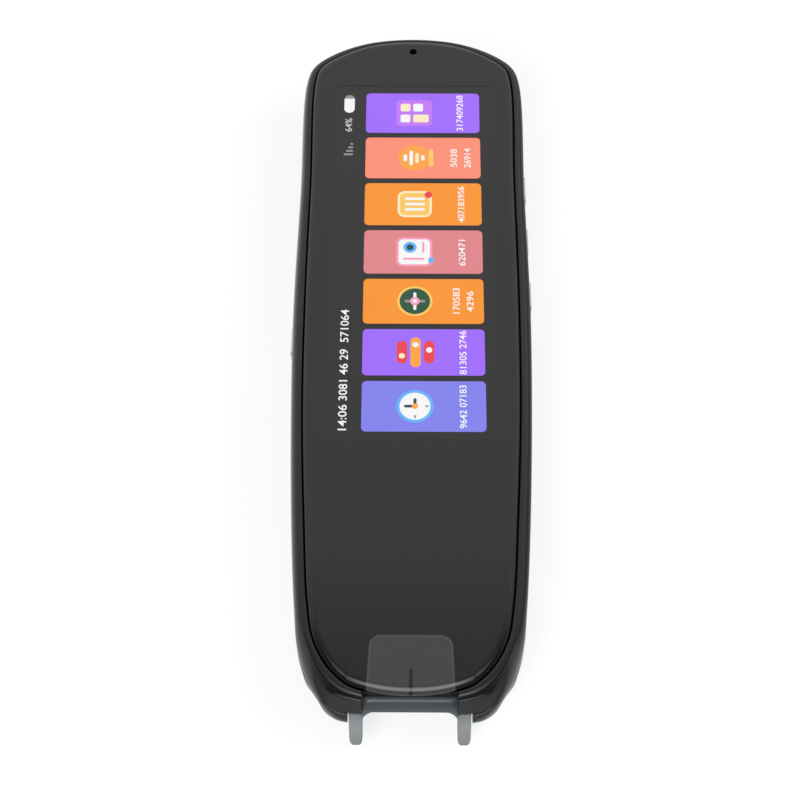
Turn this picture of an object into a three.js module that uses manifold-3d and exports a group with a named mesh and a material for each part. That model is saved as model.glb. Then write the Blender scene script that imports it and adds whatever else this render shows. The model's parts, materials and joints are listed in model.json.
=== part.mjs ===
// A handheld scanning translator: a flat pen-shaped device with one long cover glass and a scan nib.
// Lengths are millimetres. It lies on its back: +Z is up through the glass, +Y runs from the nib to
// the top end, and +X is the side with three keys. The origin is under the middle of its box.
// Places along the device are distances from its top end towards the nib.

import * as THREE from "three";
import { mergeVertices } from "three/addons/utils/BufferGeometryUtils.js";
import Module from "manifold-3d";

const wasm = await Module();
wasm.setup();

// Body
const body_length = 126;
const body_width = 39.25;
const total_height = 12.5;
const nib_reach = 2.9;
const cover_wall = 1.5;
const cover_floor = 1.4;
const parting_height = 6.8;
const parting_gap = 0.3;
const belly_width = 3.4;
const belly_height = 4.4;
const piece_gap = 0.3;
const overrun = 2;
const merge_distance = 0.0001;

// The right half of the body's outline, from the top end to the nib end. Each row is the half width
// and the distance from the top end, as shares of their full sizes, and the rim's width there.
const body_outline_shares = [
  [0, 0, 0.87],
  [0.401, 0.0062, 0.93],
  [0.702, 0.0231, 1.13],
  [0.9025, 0.0479, 1.1],
  [0.963, 0.073, 1],
  [0.981, 0.2627, 1.02],
  [1, 0.4574, 1.12],
  [0.981, 0.6163, 1.07],
  [0.939, 0.7742, 1.14],
  [0.895, 0.8735, 1.2],
  [0.855, 0.9252, 1.22],
  [0.737, 0.9704, 1.36],
  [0.5656, 0.9939, 1.33],
  [0.2858, 0.9993, 1],
  [0, 1, 0.79],
];
const outline_steps = 3;
const round_steps = 5;
const round_sides = 20;

// Cover glass and front frame
const glass_thickness = 1.1;
const glass_proud = 0.8;
const glass_edge_width = 1.2;
const glass_edge_drop = 0.8;
const glass_gap = 0.25;
const adhesive_thickness = 0.15;
const rim_width = 1.9;
const frame_land = 0.35;
const shoulder_height = 2.8;
const ledge_width = 2;
const ledge_thickness = 1.1;
const tongue_depth = 0.5;
const tongue_wall = 0.9;

// Display, and the metal plate that carries it
const panel_thickness = 0.7;
const panel_from_side = 5.9;
const panel_from_top = 10;
const panel_board_overlap = 9;
const tray_thickness = 0.9;
const plate_thickness = 0.8;
const plate_from_top = 7.2;
const plate_end_gap = 0.2;
const plate_inset = 2.9;
const flex_thickness = 0.25;
const display_flex_width = 6;
const display_flex_run = 6.6;
const display_connector_length = 2;
const display_connector_height = 1;

// Screws, and the posts that they go into
const screw_head_radius = 1.3;
const screw_head_height = 0.45;
const screw_recess = 0.5;
const screw_shank_radius = 0.7;
const screw_length = 3.5;
const post_radius = 1.7;
const chassis_screw_inset = 4.85;
const chassis_post_gap = 0.25;
const chassis_screw_from_plate_end = 3;

// Main board
const board_thickness = 0.8;
const main_board_camera_gap = 3.1;
const main_board_length = 24;
const main_board_from_side = 6.8;
const main_board_height = 5.4;
const main_screw_edge = 2.3;
const main_screw_end = 3;
const shield_on_board = 4.5;
const shield_length = 15;
const shield_width = 16;
const shield_height = 1.6;
const shield_wall = 0.35;
const processor_size = 9;
const processor_height = 0.9;
const battery_connector_on_board = 0.8;
const battery_connector_length = 2;
const battery_connector_width = 4;
const battery_connector_from_side = 4.8;
const battery_connector_height = 1;

// Battery
const battery_board_gap = 2;
const battery_top_gap = 2.5;
const battery_from_side = 6;
const battery_thickness = 6;
const tape_thickness = 0.3;
const tape_margin = 2;
const lead_width = 2.4;
const lead_thickness = 0.4;
const link_flex_width = 4;
const link_flex_side = -2;
const link_flex_overlap = 2.4;
const link_flex_rise = 1.3;

// Top board with the socket and the microphone
const top_board_from_top = 3;
const top_board_end = 25;
const top_board_from_side = 7.4;
const top_board_height = 6;
const top_board_inset = 3;
const top_screw_edge = 0.7;
const top_screws_from_top = [6.5, 22.5];
const usb_width = 8.94;
const usb_height = 3.2;
const usb_length = 7.3;
const usb_recess = 0.9;
const usb_wall = 0.3;
const usb_back_wall = 0.5;
const usb_corner = 1.3;
const tongue_width = 6.7;
const tongue_thickness = 0.7;
const tongue_length = 5;
const mic_from_top = 3.8;
const mic_hole_radius = 0.65;
const mic_width = 3;
const mic_length = 2;
const mic_height = 1;
const gasket_radius = 1.2;

// Speaker and rear camera, side by side in the back
const speaker_from_top = 9.5;
const speaker_length = 11;
const speaker_from_side = 5.4;
const speaker_past_middle = 0.8;
const speaker_thickness = 3.6;
const mesh_thickness = 0.3;
const mesh_margin = 0.8;
const grille_slots = 6;
const grille_pitch = 2;
const grille_slot_width = 0.9;
const grille_slot_length = 8;
const camera_from_top = 15;
const camera_from_side = 11.4;
const camera_size = 8.5;
const camera_barrel_radius = 2.9;
const camera_window_radius = 4;
const camera_window_thickness = 0.8;
const camera_window_sink = 0.15;

// Antenna strip on the left wall
const antenna_from_top = 9.6;
const antenna_length = 12.4;
const antenna_width = 2.6;
const antenna_height = 3.75;

// Side keys
const key_length = 5.9;
const key_height = 2.2;
const key_centre_height = 4.9;
const key_corner = 1;
const key_proud = 0.45;
const key_travel = 0.35;
const key_clearance = 0.25;
const flange_margin = 0.45;
const flange_thickness = 0.6;
const nub_size = 1.2;
const nub_length = 0.4;
const switch_rest_gap = 0.1;
const switch_thickness = 0.9;
const switch_length = 3;
const switch_height = 2.6;
const dome_radius = 0.75;
const dome_height = 0.3;
const key_flex_margin = 1.6;
const key_flex_height = 3.6;
const rib_thickness = 0.6;
const rib_height = 6.4;
const first_key_share = 0.2341;
const key_pitch = 11.05;
const left_key_share = 0.4813;

// Nib end: the slope under it, the notch for the nib, and the scan window across the notch
const slope_from_end = 3.2;
const slope_degrees = 48;
const notch_from_end = 8.8;
const notch_degrees = 60.7;
const frame_notch_depth = 3.2;
const window_thickness = 1;
const window_inset = 0.1;
const window_low = 1.7;
const window_high = 7;

// Scan nib
const nib_back_from_end = 3;
const nib_top_gap = 0.3;
const nib_leg_width = 1.875;
const nib_side_gap = 0.325;
const nib_bar_bottom = 7.4;
const nib_gap_width = 14;
const nib_corner = 1.8;
const nib_bottom = 2;
const nib_travel = 0.6;
const nib_arm_length = 10.9;
const nib_arm_width = 1.6;
const nib_arm_height = 1.6;
const nib_arm_low = 4.6;
// Front of the nib's side view, from the top down: how far each point stands ahead of the nib's
// back, and how high it is, as shares of the nib's depth and height.
const nib_front_shares = [
  [0.2, 1],
  [0.36, 0.87],
  [0.42, 0.72],
  [0.45, 0.59],
  [0.6, 0.4],
  [0.8, 0.22],
  [0.95, 0.1],
  [1, 0.045],
  [0.96, 0.008],
  [0.8, 0],
  [0.5, 0.02],
];
const nib_switch_length = 2.4;
const nib_switch_height = 3;
const nib_rib_thickness = 1;
const nib_rib_width = 2.2;
const nib_rib_height = 6.6;

// Scan engine
const scan_board_from_end = 21.9;
const scan_board_width = 15;
const scan_board_top = 8.1;
const scan_axis_height = 4.45;
const scan_camera_width = 7.2;
const scan_camera_length = 4.6;
const scan_camera_height = 6;
const lens_radius = 1.9;
const lens_length = 3.2;
const lens_bore_radius = 1.2;
const lens_bore_depth = 1;
const led_size = 1.4;
const led_height = 0.7;
const led_hood_gap = 0.5;
const hood_inset = 0.4;
const hood_top = 7.5;
const hood_wall = 0.8;

// Levels worked out from the sizes above
const top_end = (body_length + nib_reach) / 2;
const half_body = body_width / 2;
const glass_bottom = total_height - glass_thickness;
const frame_top = total_height - glass_proud;
const frame_bottom = parting_height + parting_gap;
const ledge_top = glass_bottom - adhesive_thickness;
const ledge_bottom = ledge_top - ledge_thickness;
const panel_top = glass_bottom - piece_gap;
const panel_bottom = panel_top - panel_thickness;
const plate_top = panel_bottom - tray_thickness;
const plate_bottom = plate_top - plate_thickness;
const battery_bottom = cover_floor + tape_thickness;
const battery_top = battery_bottom + battery_thickness;
const main_board_top = main_board_height + board_thickness;
const top_board_top = top_board_height + board_thickness;
const nib_top = glass_bottom - nib_top_gap;
const nib_depth = nib_reach + nib_back_from_end;

// Places along the device, from its top end
const nib_back = body_length - nib_back_from_end;
const nib_arm_end = nib_back - nib_arm_length;
const slope_start = body_length - slope_from_end;
const notch_start = body_length - notch_from_end;
const scan_board_start = body_length - scan_board_from_end;
const scan_front = scan_board_start + board_thickness;
const plate_end = scan_board_start - plate_end_gap;
const main_board_end = scan_board_start - scan_camera_length - main_board_camera_gap;
const main_board_start = main_board_end - main_board_length;
const shield_start = main_board_start + shield_on_board;
const panel_end = main_board_end - panel_board_overlap;
const battery_start = top_board_end + battery_top_gap;
const battery_end = main_board_start - battery_board_gap;
const first_key = first_key_share * body_length;
const left_key = left_key_share * body_length;
const key_reach = (key_length + key_flex_margin) / 2;
const chassis_screw_start = first_key - key_reach - chassis_post_gap - post_radius;

// Widths across the nib, its two notches, the scan hood and the scan window
const nib_span = nib_gap_width + 2 * nib_leg_width;
const nib_bar_width = nib_gap_width - piece_gap;
const cover_notch_width = nib_span + 2 * nib_side_gap;
const frame_notch_width = nib_bar_width + 2 * piece_gap;
const hood_width = nib_gap_width - 2 * hood_inset;
const window_width = hood_width - 2 * window_inset;
const led_side = hood_width / 2 - hood_wall - led_hood_gap - led_size / 2;

// Places across the device, from its middle
const half_panel = half_body - panel_from_side;
const half_main_board = half_body - main_board_from_side;
const half_battery = half_body - battery_from_side;
const half_top_board = half_body - top_board_from_side;
const speaker_across = [speaker_from_side - half_body, speaker_past_middle];
const speaker_side = (speaker_across[0] + speaker_across[1]) / 2;
const camera_side = half_body - camera_from_side;
const battery_connector_side = half_main_board - battery_connector_from_side;

// Finishes
const finishes = {
  black_glass: { color: 0x0a0a0b, roughness: 0.06, metalness: 0 },
  frame_plastic: { color: 0x2b2c2f, roughness: 0.38, metalness: 0 },
  cover_plastic: { color: 0x1a1a1c, roughness: 0.3, metalness: 0 },
  smoke_plastic: { color: 0x66727a, roughness: 0.22, metalness: 0 },
  silver: { color: 0xc9cbce, roughness: 0.25, metalness: 0.9 },
  steel: { color: 0x9a9da1, roughness: 0.35, metalness: 0.9 },
  aluminium: { color: 0xb4b7ba, roughness: 0.45, metalness: 0.8 },
  board_green: { color: 0x1f4a36, roughness: 0.55, metalness: 0 },
  chip_black: { color: 0x18181a, roughness: 0.6, metalness: 0 },
  cell_foil: { color: 0xa9adb2, roughness: 0.4, metalness: 0.4 },
  amber_film: { color: 0xa8691f, roughness: 0.45, metalness: 0 },
  white_plastic: { color: 0xe8e8e4, roughness: 0.5, metalness: 0 },
  rubber_black: { color: 0x141415, roughness: 0.85, metalness: 0 },
  dark_glass: { color: 0x15171a, roughness: 0.08, metalness: 0 },
};

// The y of a place this far from the top end.
function along(fromTop) {
  return top_end - fromTop;
}

// The body's outline as points that run anticlockwise seen from above. Each keeps its place, the
// way inwards and the rim's width there.
function bodyOutline() {
  const right = body_outline_shares.map(
    ([x, t, rim]) => new THREE.Vector3(x * half_body, along(t * body_length), rim * rim_width),
  );
  const left = right
    .slice(1, -1)
    .reverse()
    .map((p) => new THREE.Vector3(-p.x, p.y, p.z));
  const curve = new THREE.CatmullRomCurve3([...right, ...left], true, "centripetal");
  const count = (right.length + left.length) * outline_steps;
  const points = curve.getPoints(count).slice(0, count).reverse();
  return points.map((p, i) => {
    const ahead = points[(i + 1) % count];
    const behind = points[(i + count - 1) % count];
    const way = new THREE.Vector2(ahead.x - behind.x, ahead.y - behind.y).normalize();
    return { x: p.x, y: p.y, rim: p.z, inward: new THREE.Vector2(-way.y, way.x) };
  });
}
const outline = bodyOutline();

// The outline moved inwards by a distance, which may depend on the point. Where the outline turns
// too tightly for that, the points that would cross lie in line between the ones beside them.
function inset(distance) {
  const moved = outline.map((p) => {
    const d = typeof distance === "function" ? distance(p) : distance;
    const point = new THREE.Vector2(p.x + p.inward.x * d, p.y + p.inward.y * d);
    point.crossed = outline.some((q) => point.distanceTo(q) < d - merge_distance);
    return point;
  });
  const count = moved.length;
  return moved.map((point, i) => {
    if (!point.crossed) return point;
    let back = 1;
    while (moved[(i + count - back) % count].crossed) back += 1;
    let on = 1;
    while (moved[(i + on) % count].crossed) on += 1;
    const before = moved[(i + count - back) % count];
    return before.clone().lerp(moved[(i + on) % count], back / (back + on));
  });
}

// Half the body's width at a place along it.
function halfWidthAt(fromTop) {
  const y = along(fromTop);
  const i = outline.findIndex((p, k) => {
    const next = outline[(k + 1) % outline.length];
    return p.x > 0 && next.x > 0 && Math.min(p.y, next.y) <= y && Math.max(p.y, next.y) > y;
  });
  const a = outline[i];
  const b = outline[(i + 1) % outline.length];
  return THREE.MathUtils.mapLinear(y, a.y, b.y, a.x, b.x);
}

// A geometry as a solid that can be joined and cut.
function solidOf(geometry) {
  const bare = geometry.clone();
  bare.deleteAttribute("normal");
  bare.deleteAttribute("uv");
  const merged = mergeVertices(bare, merge_distance);
  const vertProperties = merged.getAttribute("position").array;
  const triVerts = new Uint32Array(merged.index.array);
  return new wasm.Manifold(new wasm.Mesh({ numProp: 3, vertProperties, triVerts }));
}

// A solid back as a geometry.
function geometryOf(solid) {
  const { vertProperties, triVerts } = solid.getMesh();
  const geometry = new THREE.BufferGeometry();
  geometry.setAttribute("position", new THREE.BufferAttribute(vertProperties, 3));
  geometry.setIndex(new THREE.BufferAttribute(triVerts, 1));
  geometry.computeVertexNormals();
  return geometry;
}

function joined(solids) {
  return solids.reduce((whole, piece) => whole.add(piece));
}

function cut(solid, cutters) {
  return cutters.reduce((rest, cutter) => rest.subtract(cutter), solid);
}

// A closed solid through a stack of outlines with as many points each. A layer is [z, points].
function loft(layers) {
  const count = layers[0][1].length;
  const position = layers.flatMap(([z, points]) => points.flatMap((p) => [p.x, p.y, z]));
  const index = [];
  for (let k = 0; k + 1 < layers.length; k += 1) {
    for (let i = 0; i < count; i += 1) {
      const a = k * count + i;
      const b = k * count + ((i + 1) % count);
      index.push(a, b, b + count, a, b + count, a + count);
    }
  }
  const last = (layers.length - 1) * count;
  for (const [a, b, c] of THREE.ShapeUtils.triangulateShape(layers[0][1], [])) {
    index.push(a, c, b);
  }
  for (const [a, b, c] of THREE.ShapeUtils.triangulateShape(layers.at(-1)[1], [])) {
    index.push(last + a, last + b, last + c);
  }
  const geometry = new THREE.BufferGeometry();
  geometry.setAttribute("position", new THREE.Float32BufferAttribute(position, 3));
  geometry.setIndex(index);
  return solidOf(geometry);
}

// The body's outline, moved inwards, as a plate between two heights.
function bodySlab(distance, low, high) {
  return loft([
    [low, inset(distance)],
    [high, inset(distance)],
  ]);
}

// A box between two x, two distances from the top end and two heights.
function block([x0, x1], [t0, t1], [z0, z1]) {
  const geometry = new THREE.BoxGeometry(x1 - x0, t1 - t0, z1 - z0);
  return solidOf(geometry.translate((x0 + x1) / 2, along((t0 + t1) / 2), (z0 + z1) / 2));
}

// A box centred on x = 0 of a whole width.
function middleBlock(width, fromTop, heights) {
  return block([-width / 2, width / 2], fromTop, heights);
}

// An upright round bar.
function post(radius, x, fromTop, [z0, z1]) {
  const geometry = new THREE.CylinderGeometry(radius, radius, z1 - z0, round_sides);
  geometry.rotateX(Math.PI / 2);
  return solidOf(geometry.translate(x, along(fromTop), (z0 + z1) / 2));
}

// A round bar along the device, at a height over the middle of its width.
function rod(radius, x, [t0, t1], z) {
  const geometry = new THREE.CylinderGeometry(radius, radius, t1 - t0, round_sides);
  return solidOf(geometry.translate(x, along((t0 + t1) / 2), z));
}

function extruded(shape, depth) {
  return new THREE.ExtrudeGeometry(shape, {
    depth,
    bevelEnabled: false,
    curveSegments: round_steps,
  });
}

// A side view, drawn in y and z, carried across from one x to another.
function acrossFrom(shape, x0, x1) {
  const turn = new THREE.Matrix4().makeBasis(
    new THREE.Vector3(0, 1, 0),
    new THREE.Vector3(0, 0, 1),
    new THREE.Vector3(1, 0, 0),
  );
  return solidOf(extruded(shape, x1 - x0).applyMatrix4(turn).translate(x0, 0, 0));
}

// A side view given as points of distance from the top end and height.
function sideView(points) {
  return new THREE.Shape(points.map(([t, z]) => new THREE.Vector2(along(t), z)));
}

// An end view, drawn in x and z, carried along from one distance from the top end to another.
function alongFrom(shape, t0, t1) {
  const turn = new THREE.Matrix4().makeBasis(
    new THREE.Vector3(1, 0, 0),
    new THREE.Vector3(0, 0, 1),
    new THREE.Vector3(0, -1, 0),
  );
  return solidOf(extruded(shape, t1 - t0).applyMatrix4(turn).translate(0, along(t0), 0));
}

// A rectangle with round corners about a point.
function roundedRectangle(u, v, width, height, radius) {
  const r = Math.min(radius, width / 2, height / 2);
  const right = u + width / 2 - r;
  const left = u - width / 2 + r;
  const high = v + height / 2 - r;
  const low = v - height / 2 + r;
  const shape = new THREE.Shape();
  shape.absarc(right, high, r, 0, Math.PI / 2);
  shape.absarc(left, high, r, Math.PI / 2, Math.PI);
  shape.absarc(left, low, r, Math.PI, 1.5 * Math.PI);
  shape.absarc(right, low, r, 1.5 * Math.PI, 2 * Math.PI);
  return shape;
}

// Everything on the nib's side of a plane that leans up and forward from the floor.
function aheadOf(fromTopAtFloor, degrees, width) {
  const lean = 1 / Math.tan(THREE.MathUtils.degToRad(degrees));
  const high = total_height + overrun;
  const far = body_length + nib_reach + total_height;
  const points = [
    [fromTopAtFloor - overrun * lean, -overrun],
    [far, -overrun],
    [far, high],
    [fromTopAtFloor + high * lean, high],
  ];
  return acrossFrom(sideView(points), -width / 2, width / 2);
}

// Quarter round from the side, at height 0, to the level part, at height 1: pairs of how far in
// and how high, as shares of the round's width and height.
function quarterShares() {
  return Array.from({ length: round_steps + 1 }, (_, i) => {
    const angle = ((Math.PI / 2) * i) / round_steps;
    return [1 - Math.cos(angle), Math.sin(angle)];
  });
}

function add(parent, name, geometry, finish) {
  const mesh = new THREE.Mesh(geometry, new THREE.MeshStandardMaterial(finishes[finish]));
  mesh.name = name;
  parent.add(mesh);
  return mesh;
}

function addSolid(parent, name, solid, finish) {
  return add(parent, name, geometryOf(solid), finish);
}

// Cover glass with its rounded front edge
function frontGlass() {
  const layers = quarterShares().map(([in_share, up_share]) => [
    total_height - glass_edge_drop * (1 - up_share),
    inset((p) => p.rim + glass_edge_width * in_share),
  ]);
  const plate = loft([[glass_bottom, inset((p) => p.rim)], ...layers]);
  const hole = post(mic_hole_radius, 0, mic_from_top, [glass_bottom - overrun, total_height + overrun]);
  return cut(plate, [hole]);
}

// Front frame: a shoulder round the glass, a ledge under the glass's edge and a tongue into the cover
function frontFrame() {
  const shoulder = quarterShares().map(([in_share, up_share]) => [
    frame_top - shoulder_height * (1 - up_share),
    inset((p) => (p.rim - glass_gap - frame_land) * in_share),
  ]);
  const tongue_inset = cover_wall + piece_gap;
  const tongue_bottom = frame_bottom - tongue_depth;
  const whole = joined([
    loft([[frame_bottom, inset(0)], ...shoulder]),
    bodySlab(tongue_inset, tongue_bottom, ledge_bottom),
  ]);
  const ends = [nib_back - nib_travel - piece_gap - frame_notch_depth, body_length + overrun];
  const through = [tongue_bottom - overrun, frame_top + overrun];
  const low_notch = cover_notch_width + piece_gap;
  return cut(whole, [
    bodySlab((p) => p.rim - glass_gap, ledge_top, frame_top + overrun),
    bodySlab((p) => p.rim + ledge_width, tongue_bottom - overrun, frame_top + overrun),
    bodySlab(tongue_inset + tongue_wall, tongue_bottom - overrun, ledge_bottom),
    middleBlock(frame_notch_width, ends, through),
    middleBlock(low_notch, ends, [tongue_bottom - overrun, frame_bottom]),
    middleBlock(
      2 * (gasket_radius + piece_gap),
      [mic_from_top - gasket_radius - piece_gap, mic_from_top + ledge_width],
      [tongue_bottom - overrun, ledge_top],
    ),
  ]);
}

// The shell's rounded outside or, moved in by the wall, its inside
function bellyLoft(wall, floor, top) {
  const layers = quarterShares()
    .reverse()
    .map(([in_share, up_share]) => [
      floor + (belly_height - floor) * (1 - up_share),
      inset(wall + belly_width * in_share),
    ]);
  return loft([...layers, [top, inset(wall)]]);
}

function keyShape(fromTop, margin) {
  return roundedRectangle(
    along(fromTop),
    key_centre_height,
    key_length + 2 * margin,
    key_height + 2 * margin,
    key_corner + margin,
  );
}

const right_keys = [0, 1, 2].map((i) => first_key + i * key_pitch);
const key_sides = [
  { side: 1, places: right_keys },
  { side: -1, places: [left_key] },
];

// The x of each layer behind a side's keys, all from the narrowest wall among them.
function keyStack(places) {
  const wall = Math.min(...places.map(halfWidthAt));
  const flange_face = wall - cover_wall - piece_gap;
  const flange_back = flange_face - flange_thickness;
  const nub_end = flange_back - nub_length;
  const dome_top = nub_end - key_travel - switch_rest_gap;
  const switch_front = dome_top - dome_height;
  const flex_front = switch_front - switch_thickness;
  const rib_front = flex_front - flex_thickness;
  return { flange_face, flange_back, nub_end, dome_top, switch_front, flex_front, rib_front };
}

// The stretch along the device that a side's key flex covers.
function keyRun(places) {
  return [places[0] - key_reach, places.at(-1) + key_reach];
}

function mirroredPair(side, inner, outer) {
  return side > 0 ? [inner, outer] : [-outer, -inner];
}

const chassis_screw_ends = [chassis_screw_start, plate_end - chassis_screw_from_plate_end];
const chassis_screw_places = chassis_screw_ends.flatMap((t) => {
  const x = halfWidthAt(t) - chassis_screw_inset;
  return [
    [x, t],
    [-x, t],
  ];
});
const main_screw_places = [
  [main_screw_edge - half_main_board, main_board_start + main_screw_end],
  [half_main_board - main_screw_edge, main_board_end - main_screw_end],
];
const top_screw_places = [
  [half_top_board - top_screw_edge, top_screws_from_top[0]],
  [top_screw_edge - half_top_board, top_screws_from_top[1]],
];

// Posts on the cover's floor for one kind of screw, and the holes in them.
function screwPosts(places, top) {
  return places.map(([x, t]) => post(post_radius, x, t, [cover_floor / 2, top]));
}

function screwHoles(places, top) {
  const radius = screw_shank_radius + piece_gap;
  const low = top - screw_length;
  return places.map(([x, t]) => post(radius, x, t, [low, top + overrun]));
}

// Back cover: the shell, its posts and ribs, and its openings
function backCover() {
  const slope = aheadOf(slope_start, slope_degrees, body_width + overrun);
  const wall_shift = cover_wall / Math.sin(THREE.MathUtils.degToRad(slope_degrees));
  const inner_slope = aheadOf(slope_start - wall_shift, slope_degrees, body_width + overrun);
  const outside = bellyLoft(0, 0, parting_height);
  const inside = bellyLoft(cover_wall, cover_floor, parting_height + overrun).subtract(inner_slope);
  const ribs = key_sides.map(({ side, places }) => {
    const { rib_front } = keyStack(places);
    const across = mirroredPair(side, rib_front - rib_thickness, rib_front);
    return block(across, keyRun(places), [cover_floor / 2, cover_floor + rib_height]);
  });
  const nib_rib_inner = hood_width / 2 + piece_gap;
  const nib_rib_end = nib_arm_end - nib_travel - switch_rest_gap - dome_height - nib_switch_length;
  const nib_rib = block(
    [nib_rib_inner, nib_rib_inner + nib_rib_width],
    [nib_rib_end - nib_rib_thickness, nib_rib_end],
    [cover_floor / 2, nib_rib_height],
  );
  const shell = joined([
    outside.subtract(inside),
    ...screwPosts(chassis_screw_places, plate_bottom),
    ...screwPosts(main_screw_places, main_board_height),
    ...screwPosts(top_screw_places, top_board_height),
    ...ribs,
    nib_rib,
  ]);
  const key_slots = key_sides.flatMap(({ side, places }) =>
    places.map((t) => {
      const wall = halfWidthAt(t);
      const across = mirroredPair(side, wall - cover_wall - piece_gap, wall + overrun);
      return acrossFrom(keyShape(t, key_clearance), ...across);
    }),
  );
  const usb_middle = top_board_height - usb_height / 2;
  const usb_slot = roundedRectangle(
    0,
    usb_middle,
    usb_width + 2 * piece_gap,
    usb_height + 2 * piece_gap,
    usb_corner + piece_gap,
  );
  const through_floor = [-overrun, cover_floor + piece_gap];
  const slots = Array.from({ length: grille_slots }, (_, i) => {
    const x = speaker_side + (i - (grille_slots - 1) / 2) * grille_pitch;
    const t = speaker_from_top + speaker_length / 2;
    return block(
      [x - grille_slot_width / 2, x + grille_slot_width / 2],
      [t - grille_slot_length / 2, t + grille_slot_length / 2],
      through_floor,
    );
  });
  const window_seat = camera_window_sink + camera_window_thickness;
  return cut(shell, [
    slope,
    aheadOf(notch_start, notch_degrees, cover_notch_width),
    ...key_slots,
    alongFrom(usb_slot, -overrun, cover_wall + overrun),
    ...slots,
    post(camera_barrel_radius + piece_gap, camera_side, camera_from_top, through_floor),
    post(camera_window_radius + piece_gap, camera_side, camera_from_top, [-overrun, window_seat]),
    ...screwHoles(chassis_screw_places, plate_bottom),
    ...screwHoles(main_screw_places, main_board_height),
    ...screwHoles(top_screw_places, top_board_height),
  ]);
}

// Plate that carries the display, with a sunk seat for each screw and a slot for the display's flex
function chassisPlate() {
  const extent = [plate_from_top, plate_end];
  const across_all = body_width + overrun;
  const slab = bodySlab(plate_inset, plate_bottom, plate_top);
  const limits = middleBlock(across_all, extent, [plate_bottom - overrun, plate_top + overrun]);
  const through = [plate_bottom - overrun, plate_top + overrun];
  const seats = chassis_screw_places.map(([x, t]) =>
    post(screw_head_radius + piece_gap, x, t, [plate_top - screw_recess, plate_top + overrun]),
  );
  const holes = chassis_screw_places.map(([x, t]) =>
    post(screw_shank_radius + piece_gap, x, t, through),
  );
  const bend = panel_end + display_flex_run;
  const slot = middleBlock(
    display_flex_width + 2 * piece_gap,
    [bend - flex_thickness - piece_gap, bend + piece_gap],
    through,
  );
  return cut(slab.intersect(limits), [...seats, ...holes, slot]);
}

// A screw with its head's underside at the origin
function screwGeometry() {
  const profile = [
    [0, -screw_length + piece_gap],
    [screw_shank_radius, -screw_length + piece_gap],
    [screw_shank_radius, 0],
    [screw_head_radius, 0],
    [screw_head_radius, screw_head_height],
    [0, screw_head_height],
  ].map(([r, z]) => new THREE.Vector2(r, z));
  return new THREE.LatheGeometry(profile, round_sides).rotateX(Math.PI / 2);
}

function addScrews(parent, name, places, height) {
  const geometry = geometryOf(solidOf(screwGeometry()));
  places.forEach(([x, t], i) => {
    const screw = add(parent, `${name}_${i + 1}`, geometry, "steel");
    screw.position.set(x, along(t), height);
  });
}

// Housing: what is seen and held
function addHousing(parent) {
  addSolid(parent, "front_glass", frontGlass(), "black_glass");
  addSolid(parent, "front_frame", frontFrame(), "frame_plastic");
  addSolid(parent, "back_cover", backCover(), "cover_plastic");
  addSolid(parent, "chassis_plate", chassisPlate(), "aluminium");
  addScrews(parent, "chassis_screw", chassis_screw_places, plate_top - screw_recess);
}

// Display: the lit panel, the tray behind it, and the flex that runs down to the main board
function addDisplay(parent) {
  const extent = [panel_from_top, panel_end];
  const panel = middleBlock(2 * half_panel, extent, [panel_bottom, panel_top]);
  const tray = middleBlock(2 * half_panel, extent, [plate_top, panel_bottom]);
  addSolid(parent, "display_panel", panel, "dark_glass");
  addSolid(parent, "display_tray", tray, "white_plastic");
  const connector_top = main_board_top + display_connector_height;
  const flex_low = plate_top + flex_thickness / 2;
  const bend = panel_end + display_flex_run;
  const flex = sideView([
    [panel_end, flex_low],
    [bend - flex_thickness, flex_low],
    [bend - flex_thickness, connector_top],
    [bend, connector_top],
    [bend, flex_low + flex_thickness],
    [panel_end, flex_low + flex_thickness],
  ]);
  const half_flex = display_flex_width / 2;
  addSolid(parent, "display_flex", acrossFrom(flex, -half_flex, half_flex), "amber_film");
  const connector = middleBlock(
    display_flex_width,
    [bend - display_connector_length / 2, bend + display_connector_length / 2],
    [main_board_top, connector_top],
  );
  addSolid(parent, "display_connector", connector, "white_plastic");
}

// Main board with its shielded processor
function addMainBoard(parent) {
  const board = middleBlock(
    2 * half_main_board,
    [main_board_start, main_board_end],
    [main_board_height, main_board_top],
  );
  const board_solid = cut(board, screwHoles(main_screw_places, main_board_top));
  addSolid(parent, "main_board", board_solid, "board_green");
  addScrews(parent, "main_board_screw", main_screw_places, main_board_top);
  const shield_end = shield_start + shield_length;
  const shield_top = main_board_top + shield_height;
  const can = middleBlock(shield_width, [shield_start, shield_end], [main_board_top, shield_top]);
  const inside = middleBlock(
    shield_width - 2 * shield_wall,
    [shield_start + shield_wall, shield_end - shield_wall],
    [main_board_top - overrun, shield_top - shield_wall],
  );
  addSolid(parent, "shield_can", can.subtract(inside), "steel");
  const middle = (shield_start + shield_end) / 2;
  const processor = middleBlock(
    processor_size,
    [middle - processor_size / 2, middle + processor_size / 2],
    [main_board_top, main_board_top + processor_height],
  );
  addSolid(parent, "processor", processor, "chip_black");
  const connector_start = main_board_start + battery_connector_on_board;
  const connector = block(
    [
      battery_connector_side - battery_connector_width / 2,
      battery_connector_side + battery_connector_width / 2,
    ],
    [connector_start, connector_start + battery_connector_length],
    [main_board_top, main_board_top + battery_connector_height],
  );
  addSolid(parent, "battery_connector", connector, "white_plastic");
}

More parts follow.
